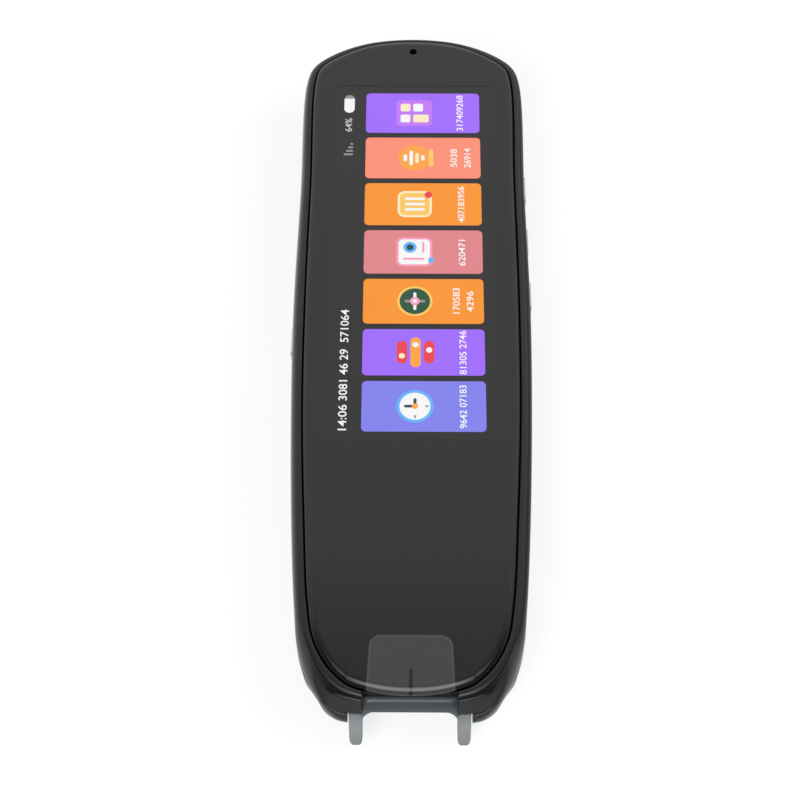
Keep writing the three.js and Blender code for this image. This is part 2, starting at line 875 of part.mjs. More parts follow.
// Battery on its tape, its lead, and the flex over it that joins the two boards
function addBattery(parent) {
  const cell = middleBlock(
    2 * half_battery,
    [battery_start, battery_end],
    [battery_bottom, battery_top],
  );
  addSolid(parent, "battery", cell, "cell_foil");
  const tape = middleBlock(
    2 * (half_battery - tape_margin),
    [battery_start + tape_margin, battery_end - tape_margin],
    [cover_floor, battery_bottom],
  );
  addSolid(parent, "battery_tape", tape, "white_plastic");
  const lead_low = main_board_top + (battery_connector_height - lead_thickness) / 2;
  const lead = block(
    [battery_connector_side - lead_width / 2, battery_connector_side + lead_width / 2],
    [battery_end, main_board_start + battery_connector_on_board],
    [lead_low, lead_low + lead_thickness],
  );
  addSolid(parent, "battery_lead", lead, "rubber_black");
  const over = battery_top + flex_thickness / 2;
  const under_side = [
    [top_board_end - link_flex_overlap, top_board_top],
    [top_board_end, top_board_top],
    [top_board_end + link_flex_rise, over],
    [main_board_start - link_flex_rise, over],
    [main_board_start + flex_thickness, main_board_top],
    [main_board_start + link_flex_overlap, main_board_top],
  ];
  const upper_side = under_side.map(([t, z]) => [t, z + flex_thickness]).reverse();
  const half_flex = link_flex_width / 2;
  const flex = acrossFrom(
    sideView([...under_side, ...upper_side]),
    link_flex_side - half_flex,
    link_flex_side + half_flex,
  );
  addSolid(parent, "board_link_flex", flex, "amber_film");
}

// Top board with the charging socket and the microphone that listens through the glass
function addTopBoard(parent) {
  const slab = bodySlab(top_board_inset, top_board_height, top_board_top);
  const limits = middleBlock(
    2 * half_top_board,
    [top_board_from_top, top_board_end],
    [top_board_height - overrun, top_board_top + overrun],
  );
  const board = cut(slab.intersect(limits), screwHoles(top_screw_places, top_board_top));
  addSolid(parent, "top_board", board, "board_green");
  addScrews(parent, "top_board_screw", top_screw_places, top_board_top);

  const usb_middle = top_board_height - usb_height / 2;
  const usb_end = usb_recess + usb_length;
  const usb_inside_end = usb_end - usb_back_wall;
  const outer = roundedRectangle(0, usb_middle, usb_width, usb_height, usb_corner);
  const inner = roundedRectangle(
    0,
    usb_middle,
    usb_width - 2 * usb_wall,
    usb_height - 2 * usb_wall,
    usb_corner - usb_wall,
  );
  const shell = alongFrom(outer, usb_recess, usb_end);
  const mouth = alongFrom(inner, usb_recess - overrun, usb_inside_end);
  addSolid(parent, "usb_c_port", shell.subtract(mouth), "steel");
  const tongue = middleBlock(
    tongue_width,
    [usb_inside_end - tongue_length, usb_inside_end],
    [usb_middle - tongue_thickness / 2, usb_middle + tongue_thickness / 2],
  );
  addSolid(parent, "usb_c_tongue", tongue, "rubber_black");

  const mic_top = top_board_top + mic_height;
  const capsule = middleBlock(
    mic_width,
    [mic_from_top - mic_length / 2, mic_from_top + mic_length / 2],
    [top_board_top, mic_top],
  );
  addSolid(parent, "mic_capsule", capsule, "steel");
  const gasket = post(gasket_radius, 0, mic_from_top, [mic_top, glass_bottom]);
  const bore = post(mic_hole_radius, 0, mic_from_top, [mic_top - overrun, glass_bottom + overrun]);
  addSolid(parent, "mic_gasket", gasket.subtract(bore), "rubber_black");
}

// Speaker behind its slots, and the rear camera behind its window
function addBackDevices(parent) {
  const extent = [speaker_from_top, speaker_from_top + speaker_length];
  const mesh_top = cover_floor + mesh_thickness;
  const mesh = block(
    [speaker_across[0] + mesh_margin, speaker_across[1] - mesh_margin],
    [extent[0] + mesh_margin, extent[1] - mesh_margin],
    [cover_floor, mesh_top],
  );
  addSolid(parent, "speaker_mesh", mesh, "rubber_black");
  const module = block(speaker_across, extent, [mesh_top, mesh_top + speaker_thickness]);
  addSolid(parent, "speaker_module", module, "chip_black");

  const half = camera_size / 2;
  const body = block(
    [camera_side - half, camera_side + half],
    [camera_from_top - half, camera_from_top + half],
    [cover_floor, top_board_height],
  );
  const window_top = camera_window_sink + camera_window_thickness;
  const barrel_low = window_top + camera_window_sink;
  const barrel_top = (cover_floor + top_board_height) / 2;
  const barrel = post(camera_barrel_radius, camera_side, camera_from_top, [barrel_low, barrel_top]);
  addSolid(parent, "rear_camera", body.add(barrel), "chip_black");
  const window = post(camera_window_radius, camera_side, camera_from_top, [camera_window_sink, window_top]);
  addSolid(parent, "rear_camera_window", window, "dark_glass");
}

function addAntenna(parent) {
  const extent = [antenna_from_top, antenna_from_top + antenna_length];
  const outer = Math.min(...extent.map(halfWidthAt)) - cover_wall - piece_gap / 2;
  const strip = block(
    [-outer, flex_thickness - outer],
    extent,
    [antenna_height, antenna_height + antenna_width],
  );
  addSolid(parent, "antenna_flex", strip, "amber_film");
}

// One key, with x as on the right side of the body
function keySolid(fromTop, stack) {
  const face = halfWidthAt(fromTop) + key_proud;
  const y = along(fromTop);
  return joined([
    acrossFrom(keyShape(fromTop, 0), stack.flange_back, face),
    acrossFrom(keyShape(fromTop, flange_margin), stack.flange_back, stack.flange_face),
    acrossFrom(
      roundedRectangle(y, key_centre_height, nub_size, nub_size, 0),
      stack.nub_end,
      stack.flange_back + flange_thickness / 2,
    ),
  ]);
}

// A tact switch that faces +X, with its back at the origin
function switchSolid() {
  const body = new THREE.BoxGeometry(switch_thickness, switch_length, switch_height);
  const dome = new THREE.CylinderGeometry(dome_radius, dome_radius, dome_height, round_sides);
  dome.rotateZ(Math.PI / 2);
  return solidOf(body.translate(switch_thickness / 2, 0, 0)).add(
    solidOf(dome.translate(switch_thickness + dome_height / 2, 0, 0)),
  );
}

// The keys of one side with their switches and flex. The left side is the same, turned half round.
function addKeys(parent, names, { side, places }) {
  const turned = new THREE.Group();
  turned.rotation.z = side > 0 ? 0 : Math.PI;
  parent.add(turned);
  const stack = keyStack(places);
  const switch_geometry = geometryOf(switchSolid());
  names.forEach((name, i) => {
    const y = along(places[i]);
    const key = add(turned, `${name}_key`, geometryOf(keySolid(places[i], stack)), "silver");
    key.position.y = side > 0 ? 0 : -2 * y;
    const tact = add(turned, `${name}_switch`, switch_geometry, "steel");
    tact.position.set(stack.flex_front, side * y, key_centre_height);
  });
  const run = keyRun(places);
  const middle = along((run[0] + run[1]) / 2);
  const flex = new THREE.BoxGeometry(flex_thickness, run[1] - run[0], key_flex_height);
  const name = side > 0 ? "right_key_flex" : "left_key_flex";
  const strip = add(turned, name, geometryOf(solidOf(flex)), "amber_film");
  strip.position.set(stack.flex_front - flex_thickness / 2, side * middle, key_centre_height);
}

// Scan nib: an arch with two feet, and two arms that run back into the body
function nibSolid() {
  const height = nib_top - nib_bottom;
  const front = nib_front_shares.map(([ahead_share, up_share]) => [
    nib_back + ahead_share * nib_depth,
    nib_bottom + up_share * height,
  ]);
  const back_low = [nib_back, nib_arm_low];
  const profile = sideView([[nib_back, nib_top], ...front, back_low]);
  const half_span = nib_span / 2;
  const whole = acrossFrom(profile, -half_span, half_span);
  const reach = [nib_back - overrun, body_length + nib_reach + overrun];
  const gap_low = nib_bottom - overrun;
  const gap = roundedRectangle(
    0,
    (nib_bar_bottom + gap_low) / 2,
    nib_gap_width,
    nib_bar_bottom - gap_low,
    nib_corner,
  );
  const foot_gap = middleBlock(nib_gap_width, reach, [gap_low, nib_bottom + nib_corner]);
  const beside_bar = [-1, 1].map((side) =>
    block(
      mirroredPair(side, nib_bar_width / 2, half_span + overrun),
      reach,
      [frame_bottom - piece_gap, nib_top + overrun],
    ),
  );
  const arm_inner = (nib_gap_width + piece_gap) / 2;
  const arms = [-1, 1].map((side) =>
    block(
      mirroredPair(side, arm_inner, arm_inner + nib_arm_width),
      [nib_arm_end, nib_back + nib_corner],
      [nib_arm_low, nib_arm_low + nib_arm_height],
    ),
  );
  return joined([cut(whole, [alongFrom(gap, ...reach), foot_gap, ...beside_bar]), ...arms]);
}

function addNib(parent) {
  addSolid(parent, "scan_nib", nibSolid(), "smoke_plastic");
  const middle = (nib_gap_width + piece_gap + nib_arm_width) / 2;
  const height = nib_arm_low + nib_arm_height / 2;
  const dome_end = nib_arm_end - nib_travel - switch_rest_gap;
  const body_end = dome_end - dome_height;
  const body = block(
    [middle - nib_arm_width / 2, middle + nib_arm_width / 2],
    [body_end - nib_switch_length, body_end],
    [height - nib_switch_height / 2, height + nib_switch_height / 2],
  );
  const dome = rod(dome_radius, middle, [body_end - piece_gap, dome_end], height);
  addSolid(parent, "nib_switch", body.add(dome), "steel");
}

// Scan engine: a camera that looks through the nib's arch, two lamps, a hood and the slanted window
function addScanEngine(parent) {
  const board = middleBlock(
    scan_board_width,
    [scan_board_start, scan_front],
    [cover_floor, scan_board_top],
  );
  const board_hole = rod(
    lens_radius + piece_gap,
    0,
    [scan_board_start - overrun, scan_front + overrun],
    scan_axis_height,
  );
  addSolid(parent, "scan_board", board.subtract(board_hole), "board_green");
  const camera = middleBlock(
    scan_camera_width,
    [scan_board_start - scan_camera_length, scan_board_start],
    [scan_axis_height - scan_camera_height / 2, scan_axis_height + scan_camera_height / 2],
  );
  addSolid(parent, "scan_camera", camera, "chip_black");
  const lens_end = scan_board_start + lens_length;
  const barrel = rod(lens_radius, 0, [scan_board_start, lens_end], scan_axis_height);
  const bore = rod(lens_bore_radius, 0, [lens_end - lens_bore_depth, lens_end + overrun], scan_axis_height);
  addSolid(parent, "scan_lens", barrel.subtract(bore), "dark_glass");
  const led = new THREE.BoxGeometry(led_size, led_height, led_size);
  for (const [name, side] of [["scan_led_left", -1], ["scan_led_right", 1]]) {
    const lamp = add(parent, name, geometryOf(solidOf(led)), "white_plastic");
    lamp.position.set(side * led_side, along(scan_front + led_height / 2), scan_axis_height);
  }

  const far = body_length + nib_reach;
  const tunnel = middleBlock(hood_width, [scan_front, far], [cover_floor, hood_top]);
  const bore_block = middleBlock(
    hood_width - 2 * hood_wall,
    [scan_front - overrun, far + overrun],
    [cover_floor + hood_wall, hood_top - hood_wall],
  );
  const lean_back = aheadOf(notch_start, notch_degrees, body_width);
  addSolid(parent, "scan_hood", cut(tunnel, [bore_block, lean_back]), "chip_black");

  const along_plane = window_thickness / Math.sin(THREE.MathUtils.degToRad(notch_degrees));
  const slab = lean_back.subtract(
    aheadOf(notch_start + along_plane, notch_degrees, body_width + overrun),
  );
  const limits = middleBlock(
    window_width,
    [notch_start - overrun, far + overrun],
    [window_low, window_high],
  );
  addSolid(parent, "scan_window", slab.intersect(limits), "dark_glass");
}

const translator = new THREE.Group();
translator.name = "handheld_translator";
for (const addGroup of [
  addHousing,
  addDisplay,
  addMainBoard,
  addBattery,
  addTopBoard,
  addBackDevices,
  addAntenna,
  addNib,
  addScanEngine,
]) {
  const group = new THREE.Group();
  addGroup(group);
  translator.add(group);
}
const keys = new THREE.Group();
addKeys(keys, ["volume_up", "volume_down", "power"], key_sides[0]);
addKeys(keys, ["record"], key_sides[1]);
translator.add(keys);

export default translator;
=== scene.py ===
"""Looks of a handheld scanning translator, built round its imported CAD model.

Sizes below are millimetres and most repeat those of the CAD source. Blender's own are metres.
The device lies on its back: +Z is up through the glass, +Y runs from the nib to the top end, and
+X is the side with three keys. Places along it are distances from its top end towards the nib.
"""

import json
from math import asin, cos, pi, radians, sin, sqrt, tan

import bmesh
import bpy
import numpy as np
from mathutils import Matrix, Vector


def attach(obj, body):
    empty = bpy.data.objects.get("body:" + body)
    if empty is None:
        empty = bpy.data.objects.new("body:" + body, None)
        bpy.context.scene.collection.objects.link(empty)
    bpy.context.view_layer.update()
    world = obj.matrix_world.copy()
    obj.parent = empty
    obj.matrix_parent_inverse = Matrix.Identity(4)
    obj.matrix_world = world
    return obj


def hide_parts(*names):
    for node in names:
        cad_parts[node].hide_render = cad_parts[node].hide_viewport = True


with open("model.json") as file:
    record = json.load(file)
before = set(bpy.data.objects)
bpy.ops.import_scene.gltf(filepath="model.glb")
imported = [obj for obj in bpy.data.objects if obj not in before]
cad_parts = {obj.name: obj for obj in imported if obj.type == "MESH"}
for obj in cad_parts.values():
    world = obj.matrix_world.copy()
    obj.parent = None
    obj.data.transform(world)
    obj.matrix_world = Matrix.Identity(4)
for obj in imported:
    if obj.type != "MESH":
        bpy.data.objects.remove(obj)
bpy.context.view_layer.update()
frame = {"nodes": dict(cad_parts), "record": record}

MM = 0.001

# Body, as in the CAD
body_length = 126
body_width = 39.25
total_height = 12.5
nib_reach = 2.9
cover_wall = 1.5
cover_floor = 1.4
parting_height = 6.8
parting_gap = 0.3
belly_width = 3.4
belly_width_at_nib = 2.2
belly_height = 4.4
piece_gap = 0.3
overrun = 2
glass_thickness = 1.1
glass_proud = 0.8
glass_edge_width = 1.2
glass_edge_drop = 0.8
glass_gap = 0.25
rim_width = 1.9
frame_land = 0.35
shoulder_height = 2.8
adhesive_thickness = 0.15
ledge_width = 2
ledge_thickness = 1.1
tongue_depth = 0.5
tongue_wall = 0.9

top_end = (body_length + nib_reach) / 2
half_body = body_width / 2
glass_bottom = total_height - glass_thickness
frame_top = total_height - glass_proud
frame_bottom = parting_height + parting_gap
ledge_top = glass_bottom - adhesive_thickness
ledge_bottom = ledge_top - ledge_thickness

# The right half of the outline: half width and distance from the top end as shares, and the rim
outline_shares = [
    (0, 0, 0.87), (0.401, 0.0062, 0.93), (0.702, 0.0231, 1.13), (0.9025, 0.0479, 1.1),
    (0.963, 0.073, 1), (0.981, 0.2627, 1.02), (1, 0.4574, 1.12), (0.981, 0.6163, 1.07),
    (0.939, 0.7742, 1.14), (0.895, 0.8735, 1.15), (0.855, 0.9252, 1.36), (0.737, 0.9704, 1.72),
    (0.5656, 0.9939, 1.7), (0.2858, 0.9993, 1.05), (0, 1, 0.79),
]
outline_steps = 10
round_steps = 10

# Nib end
slope_from_end = 3.2
slope_degrees = 48
notch_from_end = 8.8
notch_degrees = 60.7
frame_notch_depth = 3.2
nib_back_from_end = 3
nib_gap_width = 14
nib_leg_width = 1.875
nib_side_gap = 0.325
nib_bar_bottom = 7.4
nib_corner = 1.8
nib_bottom = 2
nib_ridge = 123.95
nib_travel = 0.6
nib_top_gap = 0.3
nib_arm_length = 10.9
nib_arm_width = 1.6
nib_arm_height = 1.6
nib_arm_low = 4.6
nib_back = body_length - nib_back_from_end
nib_arm_end = nib_back - nib_arm_length
nib_top = glass_bottom - nib_top_gap
nib_depth = nib_reach + nib_back_from_end
nib_span = nib_gap_width + 2 * nib_leg_width
nib_bar_width = nib_gap_width - piece_gap
cover_notch_width = nib_span + 2 * nib_side_gap
frame_notch_width = nib_bar_width + 2 * piece_gap
notch_start = body_length - notch_from_end
slope_start = body_length - slope_from_end

# Keys, socket, microphone, speaker and rear camera
key_length = 5.9
key_height = 2.2
key_centre_height = 4.9
key_corner = 1
key_proud = 0.45
key_clearance = 0.25
flange_margin = 0.45
flange_thickness = 0.6
nub_size = 1.2
nub_length = 0.4
first_key = 0.2341 * body_length
key_pitch = 11.05
left_key = 0.4813 * body_length
usb_width = 8.94
usb_height = 3.2
usb_corner = 1.3
usb_middle = 4.4
mic_from_top = 3.8
mic_hole_radius = 0.65
mic_hole_from_top = 4.3
gasket_radius = 1.2
speaker_middle = (-6.7125, 15)
grille_slots = 6
grille_pitch = 2
grille_slot_width = 0.9
grille_slot_length = 8
camera_window_place = (8.225, 15)
camera_window_radius = 4
camera_window_thickness = 0.8
camera_window_sink = 0.15
camera_barrel_radius = 2.9

# Where forms of the looks alone come in or go out, as shares of the body's length
frame_turn = (0.88, 0.95)
frame_end = (0.974, 0.992)
shell_turn = (0.95, 0.967)
shell_turn_end = (0.972, 0.986)
belly_end = (0.94, 0.985)

# Places this near are the same, and a full round is drawn a little short of the next corner
same_place = 0.001
cutter_margin = 1
round_share = 0.98
corner_steps = 6
window_sides = 96


def along(from_top):
    """The y of a place this far from the top end."""
    return top_end - from_top


camera_middle = (camera_window_place[0], along(camera_window_place[1]))


# Hand tools


def deselect():
    bpy.ops.object.select_all(action="DESELECT")


def only(piece):
    """This piece alone is selected and active."""
    deselect()
    piece.select_set(True)
    bpy.context.view_layer.objects.active = piece


def edit(piece):
    only(piece)
    bpy.ops.object.mode_set(mode="EDIT")


def leave_edit():
    bpy.ops.object.mode_set(mode="OBJECT")


def pick(piece, kind, test):
    """In edit mode, selects the faces or edges of a piece that pass a test."""
    bpy.ops.mesh.select_mode(type="FACE" if kind == "faces" else "EDGE")
    bpy.ops.mesh.select_all(action="DESELECT")
    mesh = bmesh.from_edit_mesh(piece.data)
    for part in getattr(mesh, kind):
        part.select_set(test(part))
    bmesh.update_edit_mesh(piece.data)


def added(name):
    """The piece that an operator has just added, with its place put into its mesh."""
    piece = bpy.context.object
    piece.name = piece.data.name = name
    only(piece)
    bpy.ops.object.transform_apply(location=True, rotation=True, scale=True)
    return piece


def lofted(name, rows, loop=False):
    """A skin through rows of points: a circle's corners take the first row's places, and it is
    extruded to each next row. A loop joins the last row to the first, and otherwise both close."""
    rows = [np.array(row, dtype=np.float32) * np.float32(MM) for row in rows]
    rows = [[tuple(map(float, point)) for point in row] for row in rows]
    deselect()
    bpy.ops.mesh.primitive_circle_add(vertices=len(rows[0]), radius=MM)
    piece = added(name)
    for corner, place in zip(piece.data.vertices, rows[0]):
        corner.co = place
    bpy.ops.object.mode_set(mode="EDIT")
    bpy.ops.mesh.select_mode(type="VERT")
    bpy.ops.mesh.select_all(action="SELECT")
    for here, there in zip(rows, rows[1:]):
        bpy.ops.mesh.extrude_edges_move()
        mesh = bmesh.from_edit_mesh(piece.data)
        moves = dict(zip(here, there))
        for corner in mesh.verts:
            if corner.select:
                corner.co = moves[tuple(corner.co)]
        bmesh.update_edit_mesh(piece.data)
    first, last = set(rows[0]), set(rows[-1])
    for group in [first | last] if loop else [last, first]:
        pick(
            piece,
            "edges",
            lambda e: e.is_boundary and all(tuple(v.co) in group for v in e.verts),
        )
        if loop:
            bpy.ops.mesh.bridge_edge_loops()
        else:
            bpy.ops.mesh.edge_face_add()
    bpy.ops.mesh.select_all(action="SELECT")
    bpy.ops.mesh.normals_make_consistent(inside=False)
    leave_edit()
    return piece


def way_of(edge):
    """The direction in which an edge runs."""
    return (edge.verts[0].co - edge.verts[1].co).normalized()


def block(name, low, high, round_axis=None, radius=0, steps=8):
    """A box between two corners, with the edges along one axis rounded."""
    low, high = Vector(low) * MM, Vector(high) * MM
    deselect()
    bpy.ops.mesh.primitive_cube_add(size=1, location=(low + high) / 2, scale=high - low)
    piece = added(name)
    if radius:
        edit(piece)
        pick(piece, "edges", lambda e: abs(way_of(e)[round_axis]) > 0.99)
        bpy.ops.mesh.bevel(offset=radius * MM, segments=steps, clamp_overlap=False)
        leave_edit()
    return piece


def bar(name, radius, place, heights, sides=64):
    """An upright round bar."""
    deselect()
    bpy.ops.mesh.primitive_cylinder_add(
        vertices=sides,
        radius=radius * MM,
        depth=(heights[1] - heights[0]) * MM,
        location=Vector((place[0], place[1], sum(heights) / 2)) * MM,
    )
    return added(name)


def changed(piece, kind, **settings):
    """Adds a modifier to a piece and applies it."""
    change = piece.modifiers.new("change", kind)
    for name, value in settings.items():
        setattr(change, name, value)
    only(piece)
    bpy.ops.object.modifier_apply(modifier=change.name)


def combine(piece, other, operation="DIFFERENCE"):
    """Cuts another solid out of a piece, or joins it on, and clears it away."""
    changed(piece, "BOOLEAN", operation=operation, solver="EXACT", object=other)
    bpy.data.objects.remove(other)


def coat(piece, paint):
    piece.data.materials.clear()
    piece.data.materials.append(paint.material)


def cut_box(piece, low, high, *rounding):
    """Cuts a box out of a piece."""
    combine(piece, block("cutter", low, high, *rounding))


def span(hand, inner, outer):
    """Two distances from the middle, on one side, as x, the lower first."""
    return sorted((hand * inner, hand * outer))


def fasten(piece, others):
    """Other meshes become loose parts of this one."""
    deselect()
    for one in (*others, piece):
        one.select_set(True)
    bpy.context.view_layer.objects.active = piece
    bpy.ops.object.join()
    return piece


def soften(piece, test, width, steps=3):
    """Rounds the edges that pass a test."""
    edit(piece)
    pick(piece, "edges", test)
    bpy.ops.mesh.bevel(offset=width * MM, segments=steps, profile=0.5, clamp_overlap=True)
    leave_edit()


def finished(piece, paint, body="housing", replaces=(), angle=32):
    """Shading, finish, body and the CAD nodes that the piece stands for."""
    edit(piece)
    bpy.ops.mesh.select_all(action="SELECT")
    bpy.ops.mesh.remove_doubles(threshold=0.0005 * MM)
    leave_edit()
    bpy.ops.object.shade_smooth_by_angle(angle=radians(angle))
    if paint:
        coat(piece, paint)
    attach(piece, body)
    if replaces:
        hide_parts(*replaces)
    return piece


# The outline and its sections


def catmull_rom(points, steps):
    """A closed centripetal curve through points, as the CAD draws it."""
    points = np.array(points, dtype=float)
    count = len(points)
    out = []
    for i in range(count):
        p0, p1, p2, p3 = (points[(i + k) % count] for k in (-1, 0, 1, 2))
        d0, d1, d2 = (np.linalg.norm(b - a) ** 0.5 for a, b in ((p0, p1), (p1, p2), (p2, p3)))
        m1 = ((p1 - p0) / d0 - (p2 - p0) / (d0 + d1) + (p2 - p1) / d1) * d1
        m2 = ((p2 - p1) / d1 - (p3 - p1) / (d1 + d2) + (p3 - p2) / d2) * d1
        square, cube = -3 * p1 + 3 * p2 - 2 * m1 - m2, 2 * p1 - 2 * p2 + m1 + m2
        for k in range(steps):
            s = k / steps
            out.append(p1 + m1 * s + square * s**2 + cube * s**3)
    return np.array(out)


def body_outline():
    """Rows of x, y, rim width and the way inwards, anticlockwise seen from above."""
    right = [
        (x * half_body, along(t * body_length), rim * rim_width) for x, t, rim in outline_shares
    ]
    left = [(-x, y, rim) for x, y, rim in right[-2:0:-1]]
    points = catmull_rom(right + left, outline_steps)[::-1]
    way = np.roll(points, -1, axis=0) - np.roll(points, 1, axis=0)
    way = way[:, :2] / np.linalg.norm(way[:, :2], axis=1)[:, None]
    return np.column_stack([points, -way[:, 1], way[:, 0]])


outline = body_outline()


def inset(fixed, rim_share=0.0):
    """The outline moved inwards. Points that would cross in a tight turn lie between the others."""
    distance = fixed + rim_share * outline[:, 2]
    moved = outline[:, :2] + outline[:, 3:] * distance[:, None]
    gaps = np.linalg.norm(moved[:, None] - outline[None, :, :2], axis=2).min(axis=1)
    good = np.flatnonzero(gaps >= distance - 0.002)
    spread = np.arange(len(moved))
    return np.column_stack(
        [np.interp(spread, good, moved[good, k], period=len(moved)) for k in (0, 1)]
    )


def body_rows(section, places=()):
    """A section's points, each a height, a fixed inset and a share of the rim, run round the body.
    Further numbers are how far the point drops at each of some places."""
    rows = []
    for z, fixed, rim_share, *drops in section:
        falls = list(zip(drops, places))
        row = inset(fixed, rim_share)
        rows.append([(x, y, z - sum(drop * place(y) for drop, place in falls)) for x, y in row])
    return rows


def rise(y, start, full):
    """0 rising to 1 between two places along the body, given as shares from its top end."""
    share = min(1, max(0, ((top_end - y) / body_length - start) / (full - start)))
    return share * share * (3 - 2 * share)


def at_nib(y):
    """1 next to the nib and 0 elsewhere."""
    return rise(y, *frame_end)


def round_corner(y):
    """1 where the frame turns towards the nib and 0 elsewhere."""
    return rise(y, *frame_turn) - at_nib(y)


def under_corner(y):
    """1 where the shell turns towards the nib and 0 elsewhere."""
    return rise(y, *shell_turn) * (1 - rise(y, *shell_turn_end))


def quarter(steps=round_steps):
    """A quarter round from upright to level: pairs of how far in and how high."""
    return [(1 - cos(pi / 2 * i / steps), sin(pi / 2 * i / steps)) for i in range(steps + 1)]


def half_width_at(from_top):
    """Half the body's width at this distance from its top end."""
    right = outline[outline[:, 0] > 0]
    order = np.argsort(right[:, 1])
    return float(np.interp(along(from_top), right[order, 1], right[order, 0]))


def beside_notch(edge, width, from_top):
    """Whether an edge lies in a side of a notch this wide, nearer the nib than a place."""
    return all(
        abs(abs(v.co.x) - width / 2 * MM) < same_place * MM and v.co.y < along(from_top) * MM
        for v in edge.verts
    )


def side_view(name, points, x0, x1):
    """A side view of distances from the top end and heights, carried across the device."""
    return lofted(name, [[(x, along(t), z) for t, z in points] for x in (x0, x1)])


def ahead_of(from_top, degrees, width):
    """Everything on the nib's side of a plane that leans up and forward from the floor."""
    lean = 1 / tan(radians(degrees))
    far, high = body_length + nib_reach + total_height, total_height + overrun
    low = (from_top - overrun * lean, -overrun), (far, -overrun)
    points = [*low, (far, high), (from_top + high * lean, high)]
    return side_view("cutter", points, -width / 2, width / 2)


# Finishes


class Field:
    """A value that varies over a surface. Sums and products of it add Math nodes."""

    def __init__(self, paint, socket):
        self.paint, self.socket = paint, socket

    def math(self, operation, *others):
        return self.paint.node("Math", [self, *others], operation=operation)

    def __add__(self, other):
        return self.math("ADD", other)

    def __sub__(self, other):
        return self.math("SUBTRACT", other)

    def __mul__(self, other):
        return self.math("MULTIPLY", other)

    def __truediv__(self, other):
        return self.math("DIVIDE", other)

    def __rsub__(self, other):
        return self.paint.node("Math", [other, self], operation="SUBTRACT")

    __radd__, __rmul__ = __add__, __mul__

    def __abs__(self):
        return self.math("ABSOLUTE")

    def below(self, limit, blur):
        """1 where the value is under a limit and 0 over it, with a soft step this wide."""
        values = [self, limit - blur / 2, limit + blur / 2, 1.0, 0.0]
        return self.paint.node("MapRange", values, interpolation_type="SMOOTHSTEP")


class Graph:
    """A node tree being filled, one node at a time."""

    def __init__(self, tree):
        self.tree = tree

    def first(self, kind):
        return next(n for n in self.tree.nodes if n.type == kind)

    def put(self, socket, value):
        if isinstance(value, Field):
            self.tree.links.new(value.socket, socket)
        elif isinstance(value, tuple) and len(value) == 3 and socket.type == "RGBA":
            socket.default_value = (*value, 1)
        else:
            socket.default_value = value

    def node(self, kind, values=(), output=0, **settings):
        """One node: its settings first, then its sockets by place or name."""
        node = self.tree.nodes.new("ShaderNode" + kind)
        for name, value in settings.items():
            setattr(node, name, value)
        for name, value in values.items() if isinstance(values, dict) else enumerate(values):
            self.put(node.inputs[name], value)
        return Field(self, node.outputs[output])

    def levels(self, value, stops):
        """A level that follows stops of (value from 0 to 1, level) along straight lines."""
        ramp = self.node("ValToRGB", [value])
        elements = ramp.socket.node.color_ramp.elements
        while len(elements) < len(stops):
            elements.new(1)
        for element, (place, level) in zip(elements, stops):
            element.position = place
            element.color = (level, level, level, 1)
        return ramp

    def seen_by(self, *kinds):
        """1 for rays of these kinds and 0 for the rest."""
        kinds = [self.node("LightPath", output=f"Is {kind} Ray") for kind in kinds]
        seen = kinds[0]
        for other in kinds[1:]:
            seen = seen.math("MAXIMUM", other)
        return seen


class Finish(Graph):
    """A material being mixed: nodes are added to it, and it ends in one Principled shader."""

    def __init__(self, name, color, roughness, metallic=0.0, **constants):
        self.material = bpy.data.materials.new(name)
        self.material.use_nodes = True
        super().__init__(self.material.node_tree)
        self.shader = self.first("BSDF_PRINCIPLED")
        self.set(base_color=color, roughness=roughness, metallic=metallic, **constants)

    def set(self, **sockets):
        for name, value in sockets.items():
            name = name.replace("_", " ").title().replace("Ior", "IOR")
            self.put(self.shader.inputs[name], value)

    def here(self):
        return self.node("TexCoord", output=3)

    def place(self):
        """Where a point of the piece lies, in millimetres: three fields."""
        apart = self.node("SeparateXYZ", [self.here()])
        return [Field(self, s) * (1 / MM) for s in apart.socket.node.outputs]

    def stretched(self, scale):
        """Object coordinates with each axis scaled, for grain that runs one way."""
        return self.node("Mapping", {0: self.here(), 3: scale})

    def noise(self, size, detail=2.0, vector=None):
        """Cloudy noise with features about this many millimetres across, from 0 to 1."""
        values = {"Scale": 1 / (size * MM) if vector is None else 1 / size, "Detail": detail}
        values["Vector"] = vector or self.here()
        return self.node("TexNoise", values)

    def between(self, factor, low, high):
        return self.node("MapRange", [factor, 0.0, 1.0, low, high])

    def mixed(self, factor, one, other):
        """One colour giving way to another."""
        return self.node("Mix", {0: factor, 6: one, 7: other}, 2, data_type="RGBA")

    def bump(self, height, depth):
        """Relief of this many millimetres where the height goes from 0 to 1."""
        values = {"Height": height, "Distance": depth * MM, "Strength": 1.0}
        self.set(normal=self.node("Bump", values))

    def rounded(self, across, up, half_across, half_up, radius, blur):
        """1 inside a rectangle with round corners, given its centred coordinates."""
        a = (abs(across) - (half_across - radius)).math("MAXIMUM", 0.0)
        b = (abs(up) - (half_up - radius)).math("MAXIMUM", 0.0)
        return (a * a + b * b).math("SQRT").below(radius, blur)


def srgb(color):
    """A colour as a screen shows it, from 0 to 255, as linear light."""
    return tuple(
        c / 12.92 if c <= 0.04045 else ((c + 0.055) / 1.055) ** 2.4
        for c in (level / 255 for level in color)
    )


def shades(color, *shares):
    """A colour made darker or lighter by each share."""
    return [tuple(min(1, share * c) for c in color) for share in shares]


